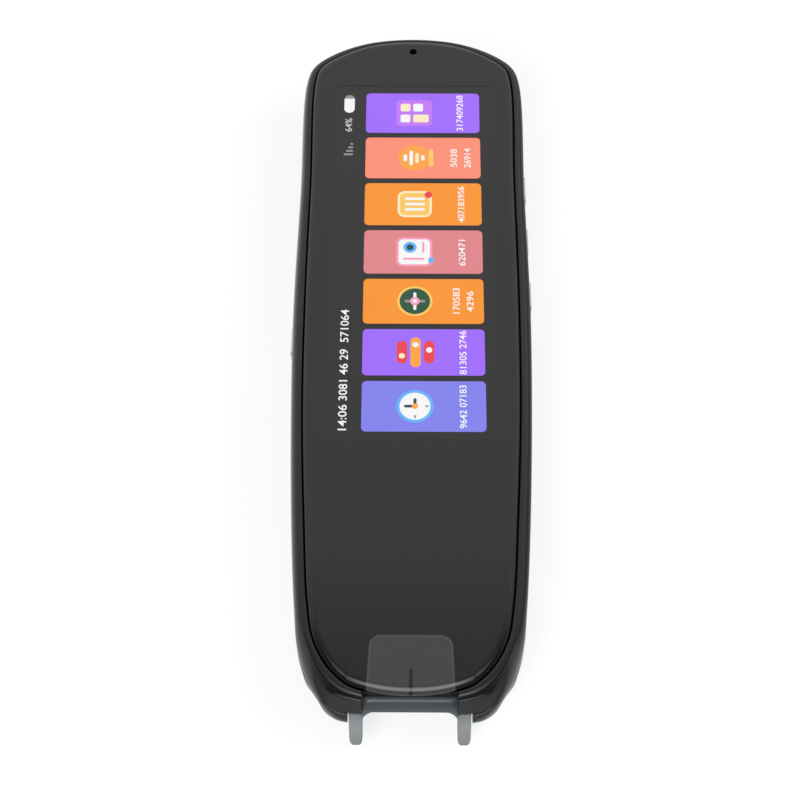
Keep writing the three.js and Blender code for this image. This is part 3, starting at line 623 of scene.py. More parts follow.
def moulded(name, color, roughness, depth=0.004, **constants):
    """Moulded plastic: fine grain, and faint clouds in its gloss and colour."""
    grain, cloud = 0.12, 9
    paint = Finish(name, color, roughness, **constants)
    clouds = paint.noise(cloud)
    paint.set(
        base_color=paint.mixed(clouds, *shades(color, 0.88, 1.12)),
        roughness=paint.between(clouds, roughness * 0.85, roughness * 1.18),
    )
    paint.bump(paint.noise(grain, 3.0), depth)
    return paint


def metal(name, color, roughness, grain=(400, 9000, 9000), depth=0.002):
    """Metal with fine brushed or rolled lines along one axis."""
    paint = Finish(name, color, roughness, 1.0)
    lines = paint.noise(1, 3.0, paint.stretched(grain))
    paint.set(
        base_color=paint.mixed(lines, *shades(color, 0.85, 1)),
        roughness=paint.between(lines, roughness * 0.75, roughness * 1.3),
    )
    paint.bump(lines, depth)
    return paint


# The smoky window in the cover glass, and the aiming mark in it: middles and half sizes
window_place = (0.1, -56.3)
window_half = (6.1, 5.35)
window_corner = 1.7
window_flare = 0.0078
window_mark = (0.12, -58.35)
window_mark_half = (0.24, 2.15)


def cover_glass_paint():
    """Black-printed glass with a smoky window over the nib and a short aiming mark in it."""
    black, mark = (0.0022,) * 3, (0.003,) * 3
    smoke, edge = (0.030, 0.030, 0.034), (0.040, 0.040, 0.045)
    paint = Finish("cover_glass_black", black, 0.03)
    x, y, _ = paint.place()
    up = y - window_place[1]
    across = (x - window_place[0]) / (1 + (window_half[1] - up) * window_flare)
    inside = paint.rounded(across, up, *window_half, window_corner, 0.12)
    rim = 0.3
    core_half = [half - rim for half in window_half]
    core = paint.rounded(across, up, *core_half, window_corner - rim, 0.35)
    line = paint.rounded(x - window_mark[0], y - window_mark[1], *window_mark_half, 0.1, 0.15)
    haze = paint.mixed(paint.noise(1.6, 4.0), *shades(smoke, 0.8, 1.15))
    tone = paint.mixed(line, paint.mixed(core, edge, haze), mark)
    paint.set(
        base_color=paint.mixed(inside, black, tone),
        roughness=paint.between(paint.noise(14, 1.0), 0.02, 0.045),
    )
    return paint


def lit(name, color):
    """A lit patch of the display, seen through its glass: faint clouds in its brightness."""
    glare, spread = 0.045, 0.06
    light = tuple(max(0.0, c - glare) for c in srgb(color))
    paint = Finish(name, (0.002,) * 3, 0.03, emission_strength=1.0)
    shade = paint.between(paint.noise(7, 1.0), 1 - spread, 1.0)
    paint.set(emission_color=paint.mixed(shade, (0, 0, 0), light))
    return paint


def nib_paint():
    """Smoky clear plastic, with painted light that makes it paler towards its feet and painted
    shade that makes it nearly black behind its ridge, under the glass.
    """
    lit_below, unshaded_below, blur = 7.2, 7.6, 0.5
    # The first colour is painted shade behind the ridge. The second is the smoky tone darkened by
    # painted shade up by the body, and the third is that tone lightened by painted light at the
    # feet.
    painted_shade_black, shaded_deep, lit_pale = (0.012, 0.014, 0.016), (0.085, 0.1, 0.115), (0.31, 0.335, 0.345)
    weights = {"transmission_weight": 0.62, "specular_ior_level": 0.08}
    paint = moulded("nib_smoke", (0.2, 0.24, 0.26), 0.34, 0.002, **weights)
    _, y, z = paint.place()
    # Painted light: paler towards the feet, below about this height.
    lit_feet_mask = (z + paint.noise(2.5) * 0.6).below(lit_below, 4.4)
    # Painted shade: nearly black behind the ridge, except low on the legs.
    unshaded_front = y.below(along(nib_ridge), blur).math("MAXIMUM", z.below(unshaded_below, 0.8))
    paint.set(base_color=paint.mixed(unshaded_front, painted_shade_black, paint.mixed(lit_feet_mask, shaded_deep, lit_pale)))
    return paint


def board_paint():
    """Circuit board: green solder mask with faint copper tracks under it."""
    paint = Finish("board_mask", (0.02, 0.1, 0.05), 0.35)
    values = {"Vector": paint.here(), "Scale": 1 / (1.4 * MM)}
    cells = paint.node("TexVoronoi", values, distance="CHEBYCHEV", feature="F2")
    tracks = cells.below(0.5, 0.1)
    paint.set(
        base_color=paint.mixed(tracks, (0.014, 0.075, 0.036), (0.03, 0.13, 0.06)),
        roughness=paint.between(paint.noise(3), 0.28, 0.42),
    )
    paint.bump(tracks, 0.02)
    return paint


def dress_nodes():
    """The CAD nodes that show as they are take the finish of their slot."""
    for part in frame["record"]["subparts"]:
        finish = shelf.get(part["material_slot"])
        for place in frame["nodes"][part["node"]].material_slots if finish else ():
            place.material = finish.material


def rear_window_paint():
    """Glass printed black, with a fine ring and a coated lens showing in the middle."""
    black, coating, pupil, grey = (0.003,) * 3, (0.012, 0.014, 0.035), (0.001,) * 3, (0.12,) * 3
    lens_radius, pupil_radius, ring_inside, ring_outside = 1.7, 0.75, 2.15, 2.35
    paint = Finish("rear_window_glass", black, 0.03)
    x, y, _ = paint.place()
    across, up = x - camera_middle[0], y - camera_middle[1]
    radius = (across * across + up * up).math("SQRT")
    ring = radius.below(ring_outside, 0.06) - radius.below(ring_inside, 0.06)
    tone = paint.mixed(radius.below(lens_radius, 0.1), black, coating)
    tone = paint.mixed(radius.below(pupil_radius, 0.08), tone, pupil)
    paint.set(
        base_color=paint.mixed(ring, tone, grey),
        roughness=paint.between(paint.noise(5, 1.0), 0.02, 0.05),
    )
    return paint


plastics = {
    "chip_black": ((0.02, 0.02, 0.021), 0.5),
    "amber_film": ((0.5, 0.2, 0.03), 0.25, 0.001),
    "white_plastic": ((0.8, 0.8, 0.77), 0.45),
    "rubber_black": ((0.015, 0.015, 0.015), 0.65, 0.01),
    "dark_glass": ((0.02, 0.022, 0.025), 0.05, 0.0002),
}


# Every finish of the device: by its slot where CAD nodes take it, and otherwise by name
shelf = {name: moulded(name, *values) for name, values in plastics.items()}
shelf.update(
    aluminium=metal("stamped_aluminium", (0.6, 0.61, 0.62), 0.38),
    steel=metal("rolled_steel", (0.5, 0.51, 0.53), 0.3),
    cell_foil=metal("cell_foil", (0.42, 0.44, 0.46), 0.42, (900, 900, 900), 0.01),
    board_green=board_paint(),
    cover=cover_glass_paint(),
    frame=moulded(
        "frame_satin_black", (0.0045, 0.0045, 0.005), 0.2, 0.0015, specular_ior_level=0.42
    ),
    shell=moulded("rear_shell_black", (0.006, 0.006, 0.0065), 0.22, 0.0025, specular_ior_level=0.7),
    screen_off=Finish("screen_off", (0.004, 0.004, 0.0048), 0.03),
    nib=nib_paint(),
    key=metal("key_silver", (0.75, 0.76, 0.78), 0.16, depth=0.0006),
    rear_window=rear_window_paint(),
)


# Housing


def make_glass():
    """Cover glass: a rolled edge, the microphone's hole and a hair-deep recess for the screen."""
    chamfer, flat_ring = 0.12, 0.4
    section = [(glass_bottom, chamfer, 1), (glass_bottom + chamfer, 0, 1)]
    section += [
        (total_height - glass_edge_drop * (1 - up), glass_edge_width * into, 1)
        for into, up in quarter()
    ]
    section.append((total_height, glass_edge_width + flat_ring, 1))
    glass = lofted("cover_glass", body_rows(section))
    place, high = (0, along(mic_hole_from_top)), total_height + cutter_margin
    combine(glass, bar("cutter", mic_hole_radius, place, (glass_bottom - cutter_margin, high)))
    floor = total_height - screen_recess
    cut_box(glass, (*screen_low, floor), (*screen_high, high), 2, screen_corner, corner_steps)
    finished(glass, shelf["cover"], replaces=["front_glass"], angle=25)


# The frame's shoulder, by shares from 0 (the side) to 1 (the top): round the corners by the nib it
# falls to an arc, and next to the nib it leans and has a shallow valley
arc_foot = radians(84)
arc_run = 2.6
arc_radius = 6.6
arc_reach = 0.62
arc_end = 0.8
arc_fade = 0.7
lean_rise = 9.45
lean_reach = 0.38
valley_depth = 0.24
valley_place = 0.52
valley_half = 0.18
valley_power = 1.5


def make_frame():
    """Front frame: its shoulder, a fine lip, the ledge under the glass and its tongue."""
    step, step_edge, margin, steps = 0.42, 0.04, 0.02, 28
    lip, wall_lean, notch_end, edges_end, relief = 0.07, 0.05, 123.85, 123.9, 0.1
    inner, foot = -glass_gap, frame_bottom + step
    side = foot + margin
    section = [(frame_bottom, step, 0), (foot - step_edge, step, 0), (foot, 0, 0)]
    for into, up in quarter(steps):
        z = frame_top - shoulder_height * (1 - up)
        turn = asin(max(0, sin(arc_foot) - into * arc_run / arc_radius))
        fall = z - (side + arc_radius * (cos(turn) - cos(arc_foot)))
        fall *= 1 - min(1, max(0, (into - arc_reach) / (arc_end - arc_reach))) ** arc_fade
        lean = z - (side + lean_rise * into) if into < lean_reach else 0
        valley = max(0, 1 - ((into - valley_place) / valley_half) ** 2) ** valley_power
        drops = max(0, fall), max(0, lean) + valley_depth * valley
        section.append((z, (inner - frame_land) * into, into, *drops))
    edge = lip * 0.3
    tongue, tongue_foot = cover_wall + piece_gap, frame_bottom - tongue_depth
    section += [
        (frame_top, inner - lip, 1), (frame_top - edge, inner - edge, 1),
        (frame_top - lip, inner, 1),
        (ledge_top, wall_lean, 1), (ledge_top, ledge_width, 1), (ledge_bottom, ledge_width, 1),
        (ledge_bottom, tongue + tongue_wall, 0), (tongue_foot, tongue + tongue_wall, 0),
        (tongue_foot, tongue, 0), (frame_bottom, tongue, 0),
    ]
    rim = lofted("front_rim", body_rows(section, (round_corner, at_nib)), loop=True)
    low = along(body_length + overrun)
    high = along(nib_back - nib_travel - piece_gap - frame_notch_depth)
    half, wide = frame_notch_width / 2, (cover_notch_width + piece_gap) / 2
    cut_box(rim, (-half, low, 0), (half, high, ledge_bottom - relief))
    cut_box(rim, (-half, low, 0), (half, along(notch_end), total_height + overrun))
    cut_box(rim, (-wide, low, 0), (wide, high, frame_bottom))
    reach, middle = gasket_radius + piece_gap, along(mic_from_top)
    cut_box(rim, (-reach, middle - ledge_width, 0), (reach, middle + reach, ledge_top))

    def notch_edge(edge):
        """An upright outer edge of the notch, over the parting line."""
        return (
            abs(way_of(edge).x) < 0.05
            and beside_notch(edge, frame_notch_width, edges_end)
            and all(v.co.z > frame_bottom * MM for v in edge.verts)
            and any(abs(f.normal.x) < 0.5 for f in edge.link_faces)
        )

    soften(rim, notch_edge, 0.22)
    finished(rim, shelf["frame"], replaces=["front_frame"])


# The side and the distance from the top end of each key
key_places = [(1, first_key + i * key_pitch) for i in range(3)] + [(-1, left_key)]


def make_shell():
    """Rear shell: a rounded belly, its wall, and the openings in it."""
    tuck_in, widening, lifting, flat_ring, edge, notch_extra = 0.15, 0.8, 0.38, 0.5, 0.02, 0.2
    end = np.array([rise(y, *belly_end) for y in outline[:, 1]])
    corner = np.array([under_corner(y) for y in outline[:, 1]])
    belly = belly_width - (belly_width - belly_width_at_nib) * end + widening * corner
    tuck, lift, step = tuck_in * corner, -lifting * belly_height, 0.3 * edge
    outside = [(0, belly + tuck + flat_ring, 0)]
    outside += [
        (belly_height * (1 - up), belly * into + tuck, 0, lift * (1 - up))
        for into, up in quarter()[::-1]
    ]
    outside += [
        (parting_height - edge, tuck, 0),
        (parting_height - step, tuck + step, 0),
        (parting_height, tuck + edge, 0),
    ]
    hollow_belly = belly_height - cover_floor
    inside = [
        (cover_floor + hollow_belly * (1 - up), cover_wall + belly_width * into, 0)
        for into, up in quarter()[::-1]
    ]
    inside.append((parting_height + overrun, cover_wall, 0))
    shell = lofted("rear_shell", body_rows(outside, (under_corner,)))
    hollow = lofted("cutter", body_rows(inside))
    wide = body_width + overrun
    wall_shift = cover_wall / sin(radians(slope_degrees))
    combine(hollow, ahead_of(slope_start - wall_shift, slope_degrees, wide))
    combine(shell, hollow)
    combine(shell, ahead_of(slope_start, slope_degrees, wide))
    notch_width = cover_notch_width + notch_extra
    combine(shell, ahead_of(notch_start, notch_degrees, notch_width))

    def outer_edge(one):
        return (
            beside_notch(one, notch_width, notch_start)
            and any(abs(f.normal.x) < 0.6 for f in one.link_faces)
            and any(min(f.normal.y, f.normal.z) < -0.3 for f in one.link_faces)
        )

    soften(shell, outer_edge, 0.3)
    half_run, half_up = key_length / 2 + key_clearance, key_height / 2 + key_clearance
    for side, t in key_places:
        wall = half_width_at(t)
        x0, x1 = span(side, wall - cover_wall - piece_gap, wall + overrun)
        low = (x0, along(t) - half_run, key_centre_height - half_up)
        high = (x1, along(t) + half_run, key_centre_height + half_up)
        cut_box(shell, low, high, 0, key_corner + key_clearance)
    half_wide, half_tall = usb_width / 2 + piece_gap, usb_height / 2 + piece_gap
    low = (-half_wide, along(cover_wall + overrun), usb_middle - half_tall)
    high = (half_wide, along(-overrun), usb_middle + half_tall)
    cut_box(shell, low, high, 1, usb_corner + piece_gap)
    half_wide, half_long = grille_slot_width / 2, grille_slot_length / 2
    through = cover_floor + piece_gap
    for i in range(grille_slots):
        x = speaker_middle[0] + (i - (grille_slots - 1) / 2) * grille_pitch
        y = along(speaker_middle[1])
        low, high = (x - half_wide, y - half_long), (x + half_wide, y + half_long)
        cut_box(shell, (*low, -overrun), (*high, through), 2, half_wide * round_share)
    seat = camera_window_sink + camera_window_thickness
    for radius, high, *sides in (
        (camera_window_radius, seat, window_sides), (camera_barrel_radius, through)
    ):
        combine(shell, bar("cutter", radius + piece_gap, camera_middle, (-overrun, high), *sides))
    finished(shell, shelf["shell"], replaces=["back_cover"])


# Nib, keys and rear window


def softened_outline(points):
    """A closed outline with its corners cut a little at a time."""
    step, rounds = 0.6, 2
    points = np.array(points, dtype=float)
    out = []
    for a, b in zip(points, np.roll(points, -1, axis=0)):
        count = max(1, round(float(np.linalg.norm(b - a)) / step))
        out += [a + (b - a) * k / count for k in range(count)]
    out = np.array(out)
    for _ in range(rounds):
        ahead = np.roll(out, -1, axis=0)
        pairs = [0.75 * out + 0.25 * ahead, 0.25 * out + 0.75 * ahead]
        out = np.stack(pairs, axis=1).reshape(-1, 2)
    return [tuple(p) for p in out]


# The nib's side view, in shares of its depth and height
nib_side_shares = [
    (0, 0.5), (-0.02, 0.79), (0.1, 0.81), (0.22, 0.84), (0.3, 0.81), (0.37, 0.73), (0.44, 0.6),
    (0.6, 0.4), (0.8, 0.22), (0.95, 0.1), (1, 0.045), (0.96, 0.008), (0.8, 0), (0.5, 0.02),
    (0, 0.286),
]


def make_nib():
    """Scan nib: an arch on two feet that narrow to their tips, and two arms into the body."""
    height = nib_top - nib_bottom
    side = [(nib_back + a * nib_depth, nib_bottom + u * height) for a, u in nib_side_shares]
    side_fill, bar_fill, gap_ease = 0.18, 0.48, 0.05
    half, gap = nib_span / 2 + side_fill, nib_gap_width / 2 + gap_ease
    nib = side_view("scan_arch", softened_outline(side), -half, half)
    near, far = along(body_length + nib_reach + overrun), along(nib_back - overrun)
    low, high = (-gap, near, nib_bottom - overrun - nib_corner), (gap, far, nib_bar_bottom)
    cut_box(nib, low, high, 1, nib_corner, 10)
    inner = (nib_gap_width + piece_gap) / 2
    for hand in (-1, 1):
        x0, x1 = span(hand, (nib_bar_width + bar_fill) / 2, half + overrun)
        cut_box(nib, (x0, near, frame_bottom - piece_gap), (x1, far, nib_top + overrun))
        x0, x1 = span(hand, inner, inner + nib_arm_width)
        low = (x0, along(nib_back + nib_corner), nib_arm_low)
        high = (x1, along(nib_arm_end), nib_arm_low + nib_arm_height)
        combine(nib, block("arm", low, high), "UNION")
    changed(nib, "REMESH", mode="VOXEL", voxel_size=0.13 * MM)
    changed(nib, "SMOOTH", factor=0.6, iterations=6)
    toe_start, toe_run, toe_round, toe_taper, toe_pinch = 0.4, 2.5, 1, 0.12, 0.55
    end_round, end_drop, end_height, end_run = 1, 0.8, 2, 0.8
    leg = (nib_gap_width + nib_leg_width) / 2 * MM
    for corner in nib.data.vertices:
        spot = corner.co
        ahead = top_end - spot.y / MM - body_length
        toe = min(1, max(0, (ahead - toe_start) / toe_run))
        tip = min(1, max(0, (ahead - nib_reach) / toe_round + 1))
        width = 1 - toe_taper * toe * toe - toe_pinch * (1 - sqrt(1 - tip * tip))
        middle = leg if spot.x > 0 else -leg
        spot.x = middle + (spot.x - middle) * width
        beyond = (abs(spot.x) / MM - nib_bar_width / 2 + end_round) / end_round
        if spot.z > frame_bottom * MM and beyond > 0:
            behind = (spot.y / MM - along(nib_ridge)) / end_run
            share = min(1, (spot.z / MM - frame_bottom) / end_height)
            share *= min(1, max(0, 0.5 - behind))
            turn = 1 - sqrt(1 - min(1, beyond) ** 2)
            spot.z -= end_round * MM * share * turn * end_drop
    finished(nib, shelf["nib"], "nib", ["scan_nib"], angle=60)


def key_depths(hand):
    """How far out the flange's back and face and the nub's end stand on one side."""
    wall = min(half_width_at(t) for side, t in key_places if side == hand)
    face = wall - cover_wall - piece_gap
    return face - flange_thickness, face, face - flange_thickness - nub_length


def make_key(name, node, body, hand, t):
    """A key: its dished cap, its flange behind the wall and its nub."""
    back, face, nub_end = key_depths(hand)
    unshaded_front = half_width_at(t) + key_proud
    edge = hand * unshaded_front * MM
    y, z = along(t), key_centre_height
    edge_round, dish, dish_margin, nub_round = 0.3, 0.05, 0.45, 0.15
    half_run, half_up, overlap = key_length / 2, key_height / 2, back + 0.1

    def across(inner, outer, half_run, half_up, radius, label="part"):
        x0, x1 = span(hand, inner, outer)
        low, high = (x0, y - half_run, z - half_up), (x1, y + half_run, z + half_up)
        return block(label, low, high, 0, radius, 10)

    def at_front(one):
        return all(abs(v.co.x - edge) < same_place * MM for v in one.verts)

    cap = across(overlap, unshaded_front, half_run, half_up, key_corner * round_share, name)
    soften(cap, at_front, edge_round, 4)
    edit(cap)
    pick(cap, "faces", lambda f: f.normal.x * hand > 0.99 and f.calc_area() > 2 * MM * MM)
    bpy.ops.mesh.inset(thickness=dish_margin * MM)
    bpy.ops.transform.translate(value=(-hand * dish * MM, 0, 0))
    leave_edit()
    half_run, half_up = half_run + flange_margin, half_up + flange_margin
    flange = across(back, face, half_run, half_up, key_corner + flange_margin * round_share)
    nub = across(nub_end, overlap, nub_size / 2, nub_size / 2, nub_round)
    fasten(cap, [flange, nub])
    finished(cap, shelf["key"], body, [node])


def make_rear_window():
    """Round window of the rear camera: a chamfered disc, printed black round a clear middle."""
    low, high = camera_window_sink, camera_window_sink + camera_window_thickness
    disc = bar("rear_window", camera_window_radius, camera_middle, (low, high), window_sides)
    soften(disc, lambda e: abs(sum(v.co.z for v in e.verts) / 2 - low * MM) < 0.01 * MM, 0.25)
    finished(disc, shelf["rear_window"], replaces=["rear_camera_window"])


# The screen's picture

screen_recess = 0.062
screen_low = (-13.6, -18.19)
screen_high = (13.9, 52.36)
screen_corner = 0.8
film = 0.008
tile_count = 7
tile_middle = 1.72
tile_drift = 0.04
tile_top = 50.705
tile_pitch = 9.7335
tile_width = 19.7247
tile_share = 0.8924
last_tile_share = 0.9412
tile_corner = 0.75
digit_height = 1.15

violet, coral, amber, rose = (165, 115, 255), (255, 150, 125), (253, 155, 62), (228, 140, 145)
indigo, lilac, honey, red = (135, 137, 240), (200, 130, 250), (255, 205, 110), (240, 80, 90)
white, cream, pink, sky = (250, 250, 250), (255, 240, 200), (255, 160, 190), (110, 185, 250)
teal, pine, orange, ash = (40, 85, 95), (60, 95, 75), (255, 170, 80), (150, 150, 155)
bright_ash = (205, 205, 208)
tile_colors = [violet, coral, amber, rose, amber, violet, indigo]

# Each icon, lowest shape first: boxes of (colour, x, y, width, height, corner) and discs of
# (colour, x, y, width), with their places counted from the tile's middle
icons = [
    [
        (lilac, -1.5, 0, 6.2, 5.6, 0.7), (cream, -3, 1.2, 1.7, 1.7, 0.35),
        (white, -0.8, 1.2, 1.7, 1.7, 0.35), (white, -3, -1.2, 1.7, 1.7, 0.35),
        (cream, -0.3, -1.2, 2.7, 1.7, 0.35),
    ],
    [
        (orange, -1.5, 0, 5.4), (white, -3, 0, 0.6, 1.5, 0.3), (white, -2, 0, 0.6, 3.1, 0.3),
        (cream, -1, 0, 0.6, 2.1, 0.3), (white, 0, 0, 0.6, 1.1, 0.3), (honey, 1.4, 0, 0.8, 3.8, 0.4),
    ],
    [
        (cream, -1.4, 0, 5.8, 5.4, 1.3), (honey, -1.4, 0, 5, 4.6, 0.9),
        *((white, -1.4, up, 3.4, 0.5, 0.25) for up in (1.1, 0, -1.1)), (red, 0.9, 1.9, 1.3),
    ],
    [
        (pink, -1.5, 0, 6, 5.8, 1.1), (white, -1.5, 0, 5.2, 5, 0.8), (sky, -2.2, 0.9, 2.2),
        (teal, -2.2, 0.9, 1.2), (pink, 0, 0.9, 0.35, 2.2, 0.17), (pink, -1.6, -1.4, 3.6, 0.4, 0.2),
        (sky, 1.3, -1.7, 0.9, 1.1, 0.2),
    ],
    [
        (honey, -1.4, 0, 5.8), (pine, -1.4, 0, 5), (white, -1.4, 0, 0.5, 3.4, 0.25),
        (ash, -1.4, 0, 3.4, 0.5, 0.25), (pink, -1.4, 0, 1.6), (white, -1.4, 0, 0.7),
    ],
    [
        (orange, -1.3, 0, 1.7, 5.6, 0.8), (red, -3.5, 0, 1.7, 4.2, 0.8),
        (red, 0.9, 0, 1.7, 4.2, 0.8), (white, -1.3, 1.4, 1), (cream, -3.5, -0.7, 1),
        (white, 0.9, 0.4, 1),
    ],
    [
        (sky, -1.4, 0, 5.9), (white, -1.4, 0, 4.9), (teal, -2.2, 0, 1.9, 0.5, 0.25),
        (teal, -1.4, 0.65, 0.5, 1.6, 0.25), (orange, -1.4, 0, 1), (ash, 0.5, 0, 0.6, 0.3, 0.1),
        (ash, -1.4, -1.9, 0.3, 0.6, 0.1),
    ],
]
# Each label's rows: x from the tile's middle, the length of the row and its digits
labels = [
    [(6.5, 7.8, "317409268")], [(5.35, 3.8, "5038"), (7.7, 4.1, "26914")],
    [(6.5, 7.4, "407183956")], [(6.5, 5.2, "620471")], [(5.45, 5, "170583"), (7.7, 4, "4296")],
    [(6.4, 8.2, "81305 2746")], [(6.3, 7.8, "9642 07183")],
]
# The status line beside the tiles: the battery's shapes by layer, digits, and the signal's bars
status_x = -12.79
battery_shapes = [
    (0, ash, 48.35, 1.8, 3.9, 0.9), (2, white, 47.95, 1.8, 3.1, 0.9),
    (3, white, 48.6, 1.8, 1.8, 0.1),
]
status_digits = [
    ("64%", bright_ash, 0, 43.7, 2.9, 1.2), ("14:06", white, 1, -14.55, 4.6, 1.38),
    ("3081 46 29  571064", white, 1, -2.8, 17, 1.38),
]
signal_heights = (0.5, 0.85, 1.2, 1.6)


def screen_level(layer):
    """The underside of the picture's n-th layer. All stay under the glass's face."""
    return total_height - screen_recess + 0.01 + film / 2 * layer


def patch(layer, paint, x, y, width, height=None, corner=None):
    """One flat shape of the picture: a box with round corners, or a disc without a height."""
    low = screen_level(layer)
    if height is None:
        piece = bar("part", width / 2, (x, y), (low, low + film), 40)
    else:
        ends = (x - width / 2, y - height / 2, low), (x + width / 2, y + height / 2, low + film)
        radius = min(corner, width / 2, height / 2) * round_share
        piece = block("part", *ends, 2, radius, corner_steps)
    coat(piece, paint)
    return piece


def digits(text, paint, x, y, run, height, layer=0):
    """Digits that read from the nib towards the top end over this run, as a thin mesh."""
    deselect()
    bpy.ops.object.text_add()
    data, scale, weight = bpy.context.object.data, 1.38, 0.012
    data.body = text
    data.align_x, data.align_y = "CENTER", "CENTER"
    data.size = height * scale * MM
    data.offset = weight * height * MM
    data.resolution_u = 4
    data.extrude = film / 2 * MM
    bpy.ops.object.convert(target="MESH")
    words = bpy.context.object
    words.scale.x = run * MM / words.dimensions.x
    words.rotation_euler = (0, 0, pi / 2)
    words.location = Vector((x, y, screen_level(layer) + film / 2)) * MM
    words = added("part")
    coat(words, paint)
    return words


def settle(name, parts):
    """Parts of the picture joined under one name."""
    piece = parts[0] if len(parts) == 1 else fasten(parts[0], parts[1:])
    piece.name = piece.data.name = name
    finished(piece, None)


def make_picture():
    """The lit picture: a dark field, tiles with an icon and a label each, and a status line."""
    lights = {}

    def light(color):
        if color not in lights:
            lights[color] = lit("lit_%d_%d_%d" % color, color)
        return lights[color]

    margin, level = 0.03, total_height - screen_recess
    low = (*(c + margin for c in screen_low), level - 0.02)
    high = (*(c - margin for c in screen_high), level + 0.012)
    field = block("part", low, high, 2, screen_corner, corner_steps)
    coat(field, shelf["screen_off"])
    settle("picture_field", [field])
    for i in range(tile_count):
        run = (last_tile_share if i == tile_count - 1 else tile_share) * tile_pitch
        x, y = tile_middle + tile_drift * i, tile_top - i * tile_pitch - run / 2
        tile = patch(0, light(tile_colors[i]), x, y, tile_width, run, tile_corner)
        settle(f"picture_tile_{i + 1}", [tile])
        parts = [
            patch(2 + k, light(color), x + out, y + up, *size)
            for k, (color, out, up, *size) in enumerate(icons[i])
        ]
        settle(f"picture_icon_{i + 1}", parts)
        parts = [
            digits(text, light(white), x + out, y, length, digit_height, 2)
            for out, length, text in labels[i]
        ]
        settle(f"picture_label_{i + 1}", parts)
    top = tile_middle + status_x
    places = (top, top + tile_drift * (tile_count - 1))
    parts = [patch(layer, light(color), top, *size) for layer, color, *size in battery_shapes]
    parts += [
        digits(text, light(color), places[end], y, run, height)
        for text, color, end, y, run, height in status_digits
    ]
    foot, start, pitch, width, corner = 0.8, 39.6, 0.75, 0.38, 0.1
    for k, h in enumerate(signal_heights):
        x, y = top + foot - h / 2, start - pitch * k
        parts.append(patch(0, light(ash), x, y, h, width, corner))
    settle("picture_status", parts)


# Stage, lights and camera


# Gloss sees the floor at these levels, from 150 mm in front of the device's middle to 50 mm behind
# it, with a painted contact shadow as a dark dip just in front of the nib, and darker by a share
# past an x and a y, each with its blur
floor_levels = [
    (0, 0.5), (0.38, 0.58), (0.42, 0.54), (0.431, 0.15), (0.44, 0.3), (0.45, 0.8), (0.6, 0.86),
    (1, 0.96),
]
floor_dim_x = (22, 6)
floor_dim_y = (-45, 20)
floor_dim = 0.65


def make_stage():
    """A pale floor: nearly white where it is seen, darker towards the camera where gloss
    reflects it, and clear from below."""
    deselect()
    bpy.ops.mesh.primitive_plane_add(size=6, location=(0, 0, -0.02 * MM))
    floor = added("floor")
    paint = Finish("floor_white", (0.86, 0.86, 0.86), 0.7)
    x, y, _ = paint.place()
    dim = (1 - x.below(*floor_dim_x)) * (1 - y.below(*floor_dim_y)) * floor_dim
    # Painted contact shadow: these levels dip just in front of the nib.
    mirrored = paint.levels((y + 150) / 200, floor_levels) * (1 - dim)
    gloss = paint.seen_by("Glossy")
    glow = paint.node("Emission", {1: gloss * mirrored + (1 - gloss)})
    share = (paint.seen_by("Camera", "Transmission") * 0.8).math("MAXIMUM", gloss)
    lit_plain = Field(paint, paint.shader.outputs[0])
    both = paint.node("MixShader", [share, lit_plain, glow])
    under, clear = paint.node("NewGeometry", output="Backfacing"), paint.node("BsdfTransparent")
    both = paint.node("MixShader", [under, both, clear])
    paint.put(paint.first("OUTPUT_MATERIAL").inputs[0], both)
    coat(floor, paint)


strip_peak = 4.6


def by_turn(*levels):
    """Levels by the turn in degrees, from the far horizon (0) over the top (90) to the camera's
    horizon (180), as shares of the strip's peak."""
    return [(turn / 180, level / strip_peak) for turn, level in levels]


room_light = 0.45
room_levels = by_turn(
    (0, 1.15), (50, 1.11), (57, 1.07), (65, 1.02), (69, 0.66), (76, 0.4), (90, 0.25), (180, 0.1)
)
strip_levels = by_turn(
    (80, 0), (90, 1.8), (101, 4.1), (110, 4.5), (120, 3.7), (132, 1.4), (145, 0.2), (160, 0)
)
strip_reach = [(0.2, 1), (0.32, 0.42), (0.58, 0.3), (0.68, 0)]
flank_levels = [(0, 0.1), (0.45, 0.13), (0.6, 0.5), (0.72, 1)]
flank_from = (0.7, 0.5)


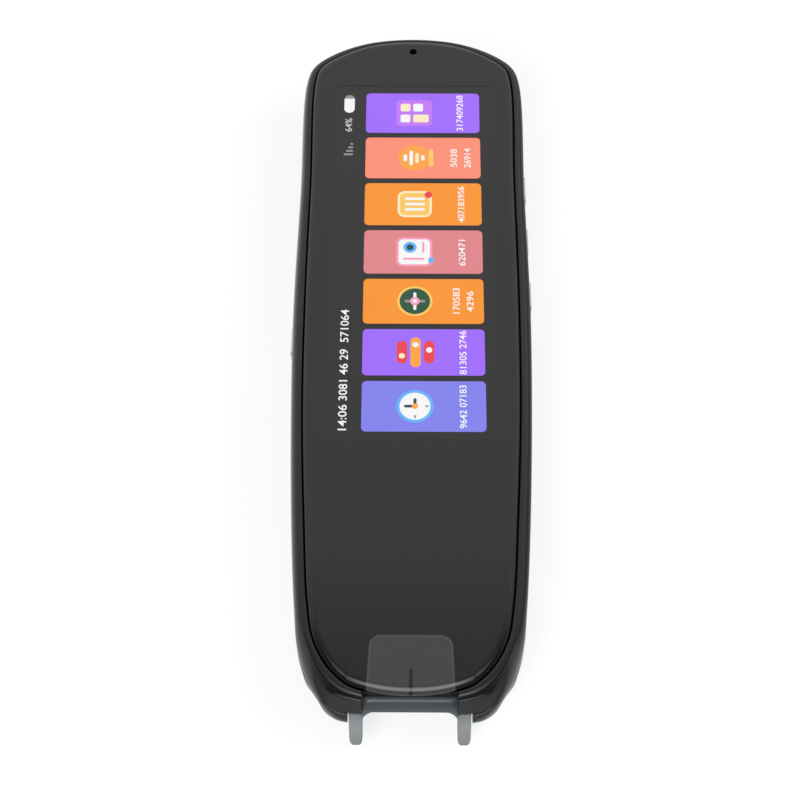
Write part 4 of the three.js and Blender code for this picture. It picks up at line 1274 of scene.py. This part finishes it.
def make_world():
    """A white room. Gloss also shows a bright strip over the camera and the dark side in front."""
    world = bpy.data.worlds.new("studio")
    bpy.context.scene.world = world
    world.use_nodes = True
    sky = Graph(world.node_tree)
    apart = sky.node("SeparateXYZ", [sky.node("TexCoord", output=0)])
    x, y, z = (Field(sky, s) for s in apart.socket.node.outputs)
    turn = z.math("ARCTAN2", y) * (1 / pi)
    room = sky.levels(turn, room_levels) * strip_peak
    strip = sky.levels(turn, strip_levels) * sky.levels(abs(x), strip_reach) * strip_peak
    middle = abs(x).below(*flank_from)
    flank = sky.levels(y * 0.5 + 0.5, flank_levels)
    mirrored = room * middle + flank * (1 - middle) + strip
    gloss, seen = sky.seen_by("Glossy"), sky.seen_by("Camera", "Transmission")
    level = gloss * mirrored + (1 - gloss) * (seen * (1 - room_light) + room_light)
    background = sky.first("BACKGROUND")
    sky.put(background.inputs[0], (1, 1, 1))
    sky.put(background.inputs[1], level)


def soft_light(name, place, size, power):
    """A square soft box aimed at the middle of the device."""
    deselect()
    bpy.ops.object.light_add(type="AREA", location=place)
    lamp = bpy.context.object
    lamp.name = name
    lamp.data.size = size
    lamp.data.energy = power
    lamp.visible_glossy = False
    lamp.rotation_mode = "QUATERNION"
    lamp.rotation_quaternion = (-lamp.location).to_track_quat("-Z", "Y")


def make_camera():
    """The photograph's view, found by fitting the body's outline and the screen's tiles."""
    azimuth, elevation, roll = -0.016160113, radians(60.5), 0.010057229
    offset = Vector((1.9592337, -3.5730702, 296.4884402)) * MM
    focal_pixels, image_pixels, sensor = 1768.2, 800, 36
    level = cos(elevation)
    forward = Vector((sin(azimuth) * level, cos(azimuth) * level, -sin(elevation)))
    right = Vector((cos(azimuth), -sin(azimuth), 0))
    down = forward.cross(right)
    right, down = cos(roll) * right + sin(roll) * down, -sin(roll) * right + cos(roll) * down
    turn = Matrix((right, -down, -forward)).transposed()
    place = -(right * offset.x + down * offset.y + forward * offset.z)
    data = bpy.data.cameras.new("camera")
    data.sensor_width = sensor
    data.lens = sensor * focal_pixels / image_pixels
    data.clip_start, data.clip_end = 0.01, 20
    camera = bpy.data.objects.new("camera", data)
    bpy.context.scene.collection.objects.link(camera)
    camera.matrix_world = Matrix.Translation(place) @ turn.to_4x4()
    bpy.context.scene.camera = camera


make_glass()
make_frame()
make_shell()
make_nib()
for (hand, t), name in zip(key_places, ("volume_up", "volume_down", "power", "record")):
    make_key(f"{name}_cap", f"{name}_key", name, hand, t)
make_rear_window()
make_picture()
dress_nodes()
make_stage()
make_world()
soft_light("key_light", place=(-0.35, -0.55, 0.6), size=0.5, power=7)
soft_light("fill_light", place=(0.55, 0.1, 0.45), size=0.5, power=4)
make_camera()
bpy.context.scene.view_settings.view_transform = "Standard"
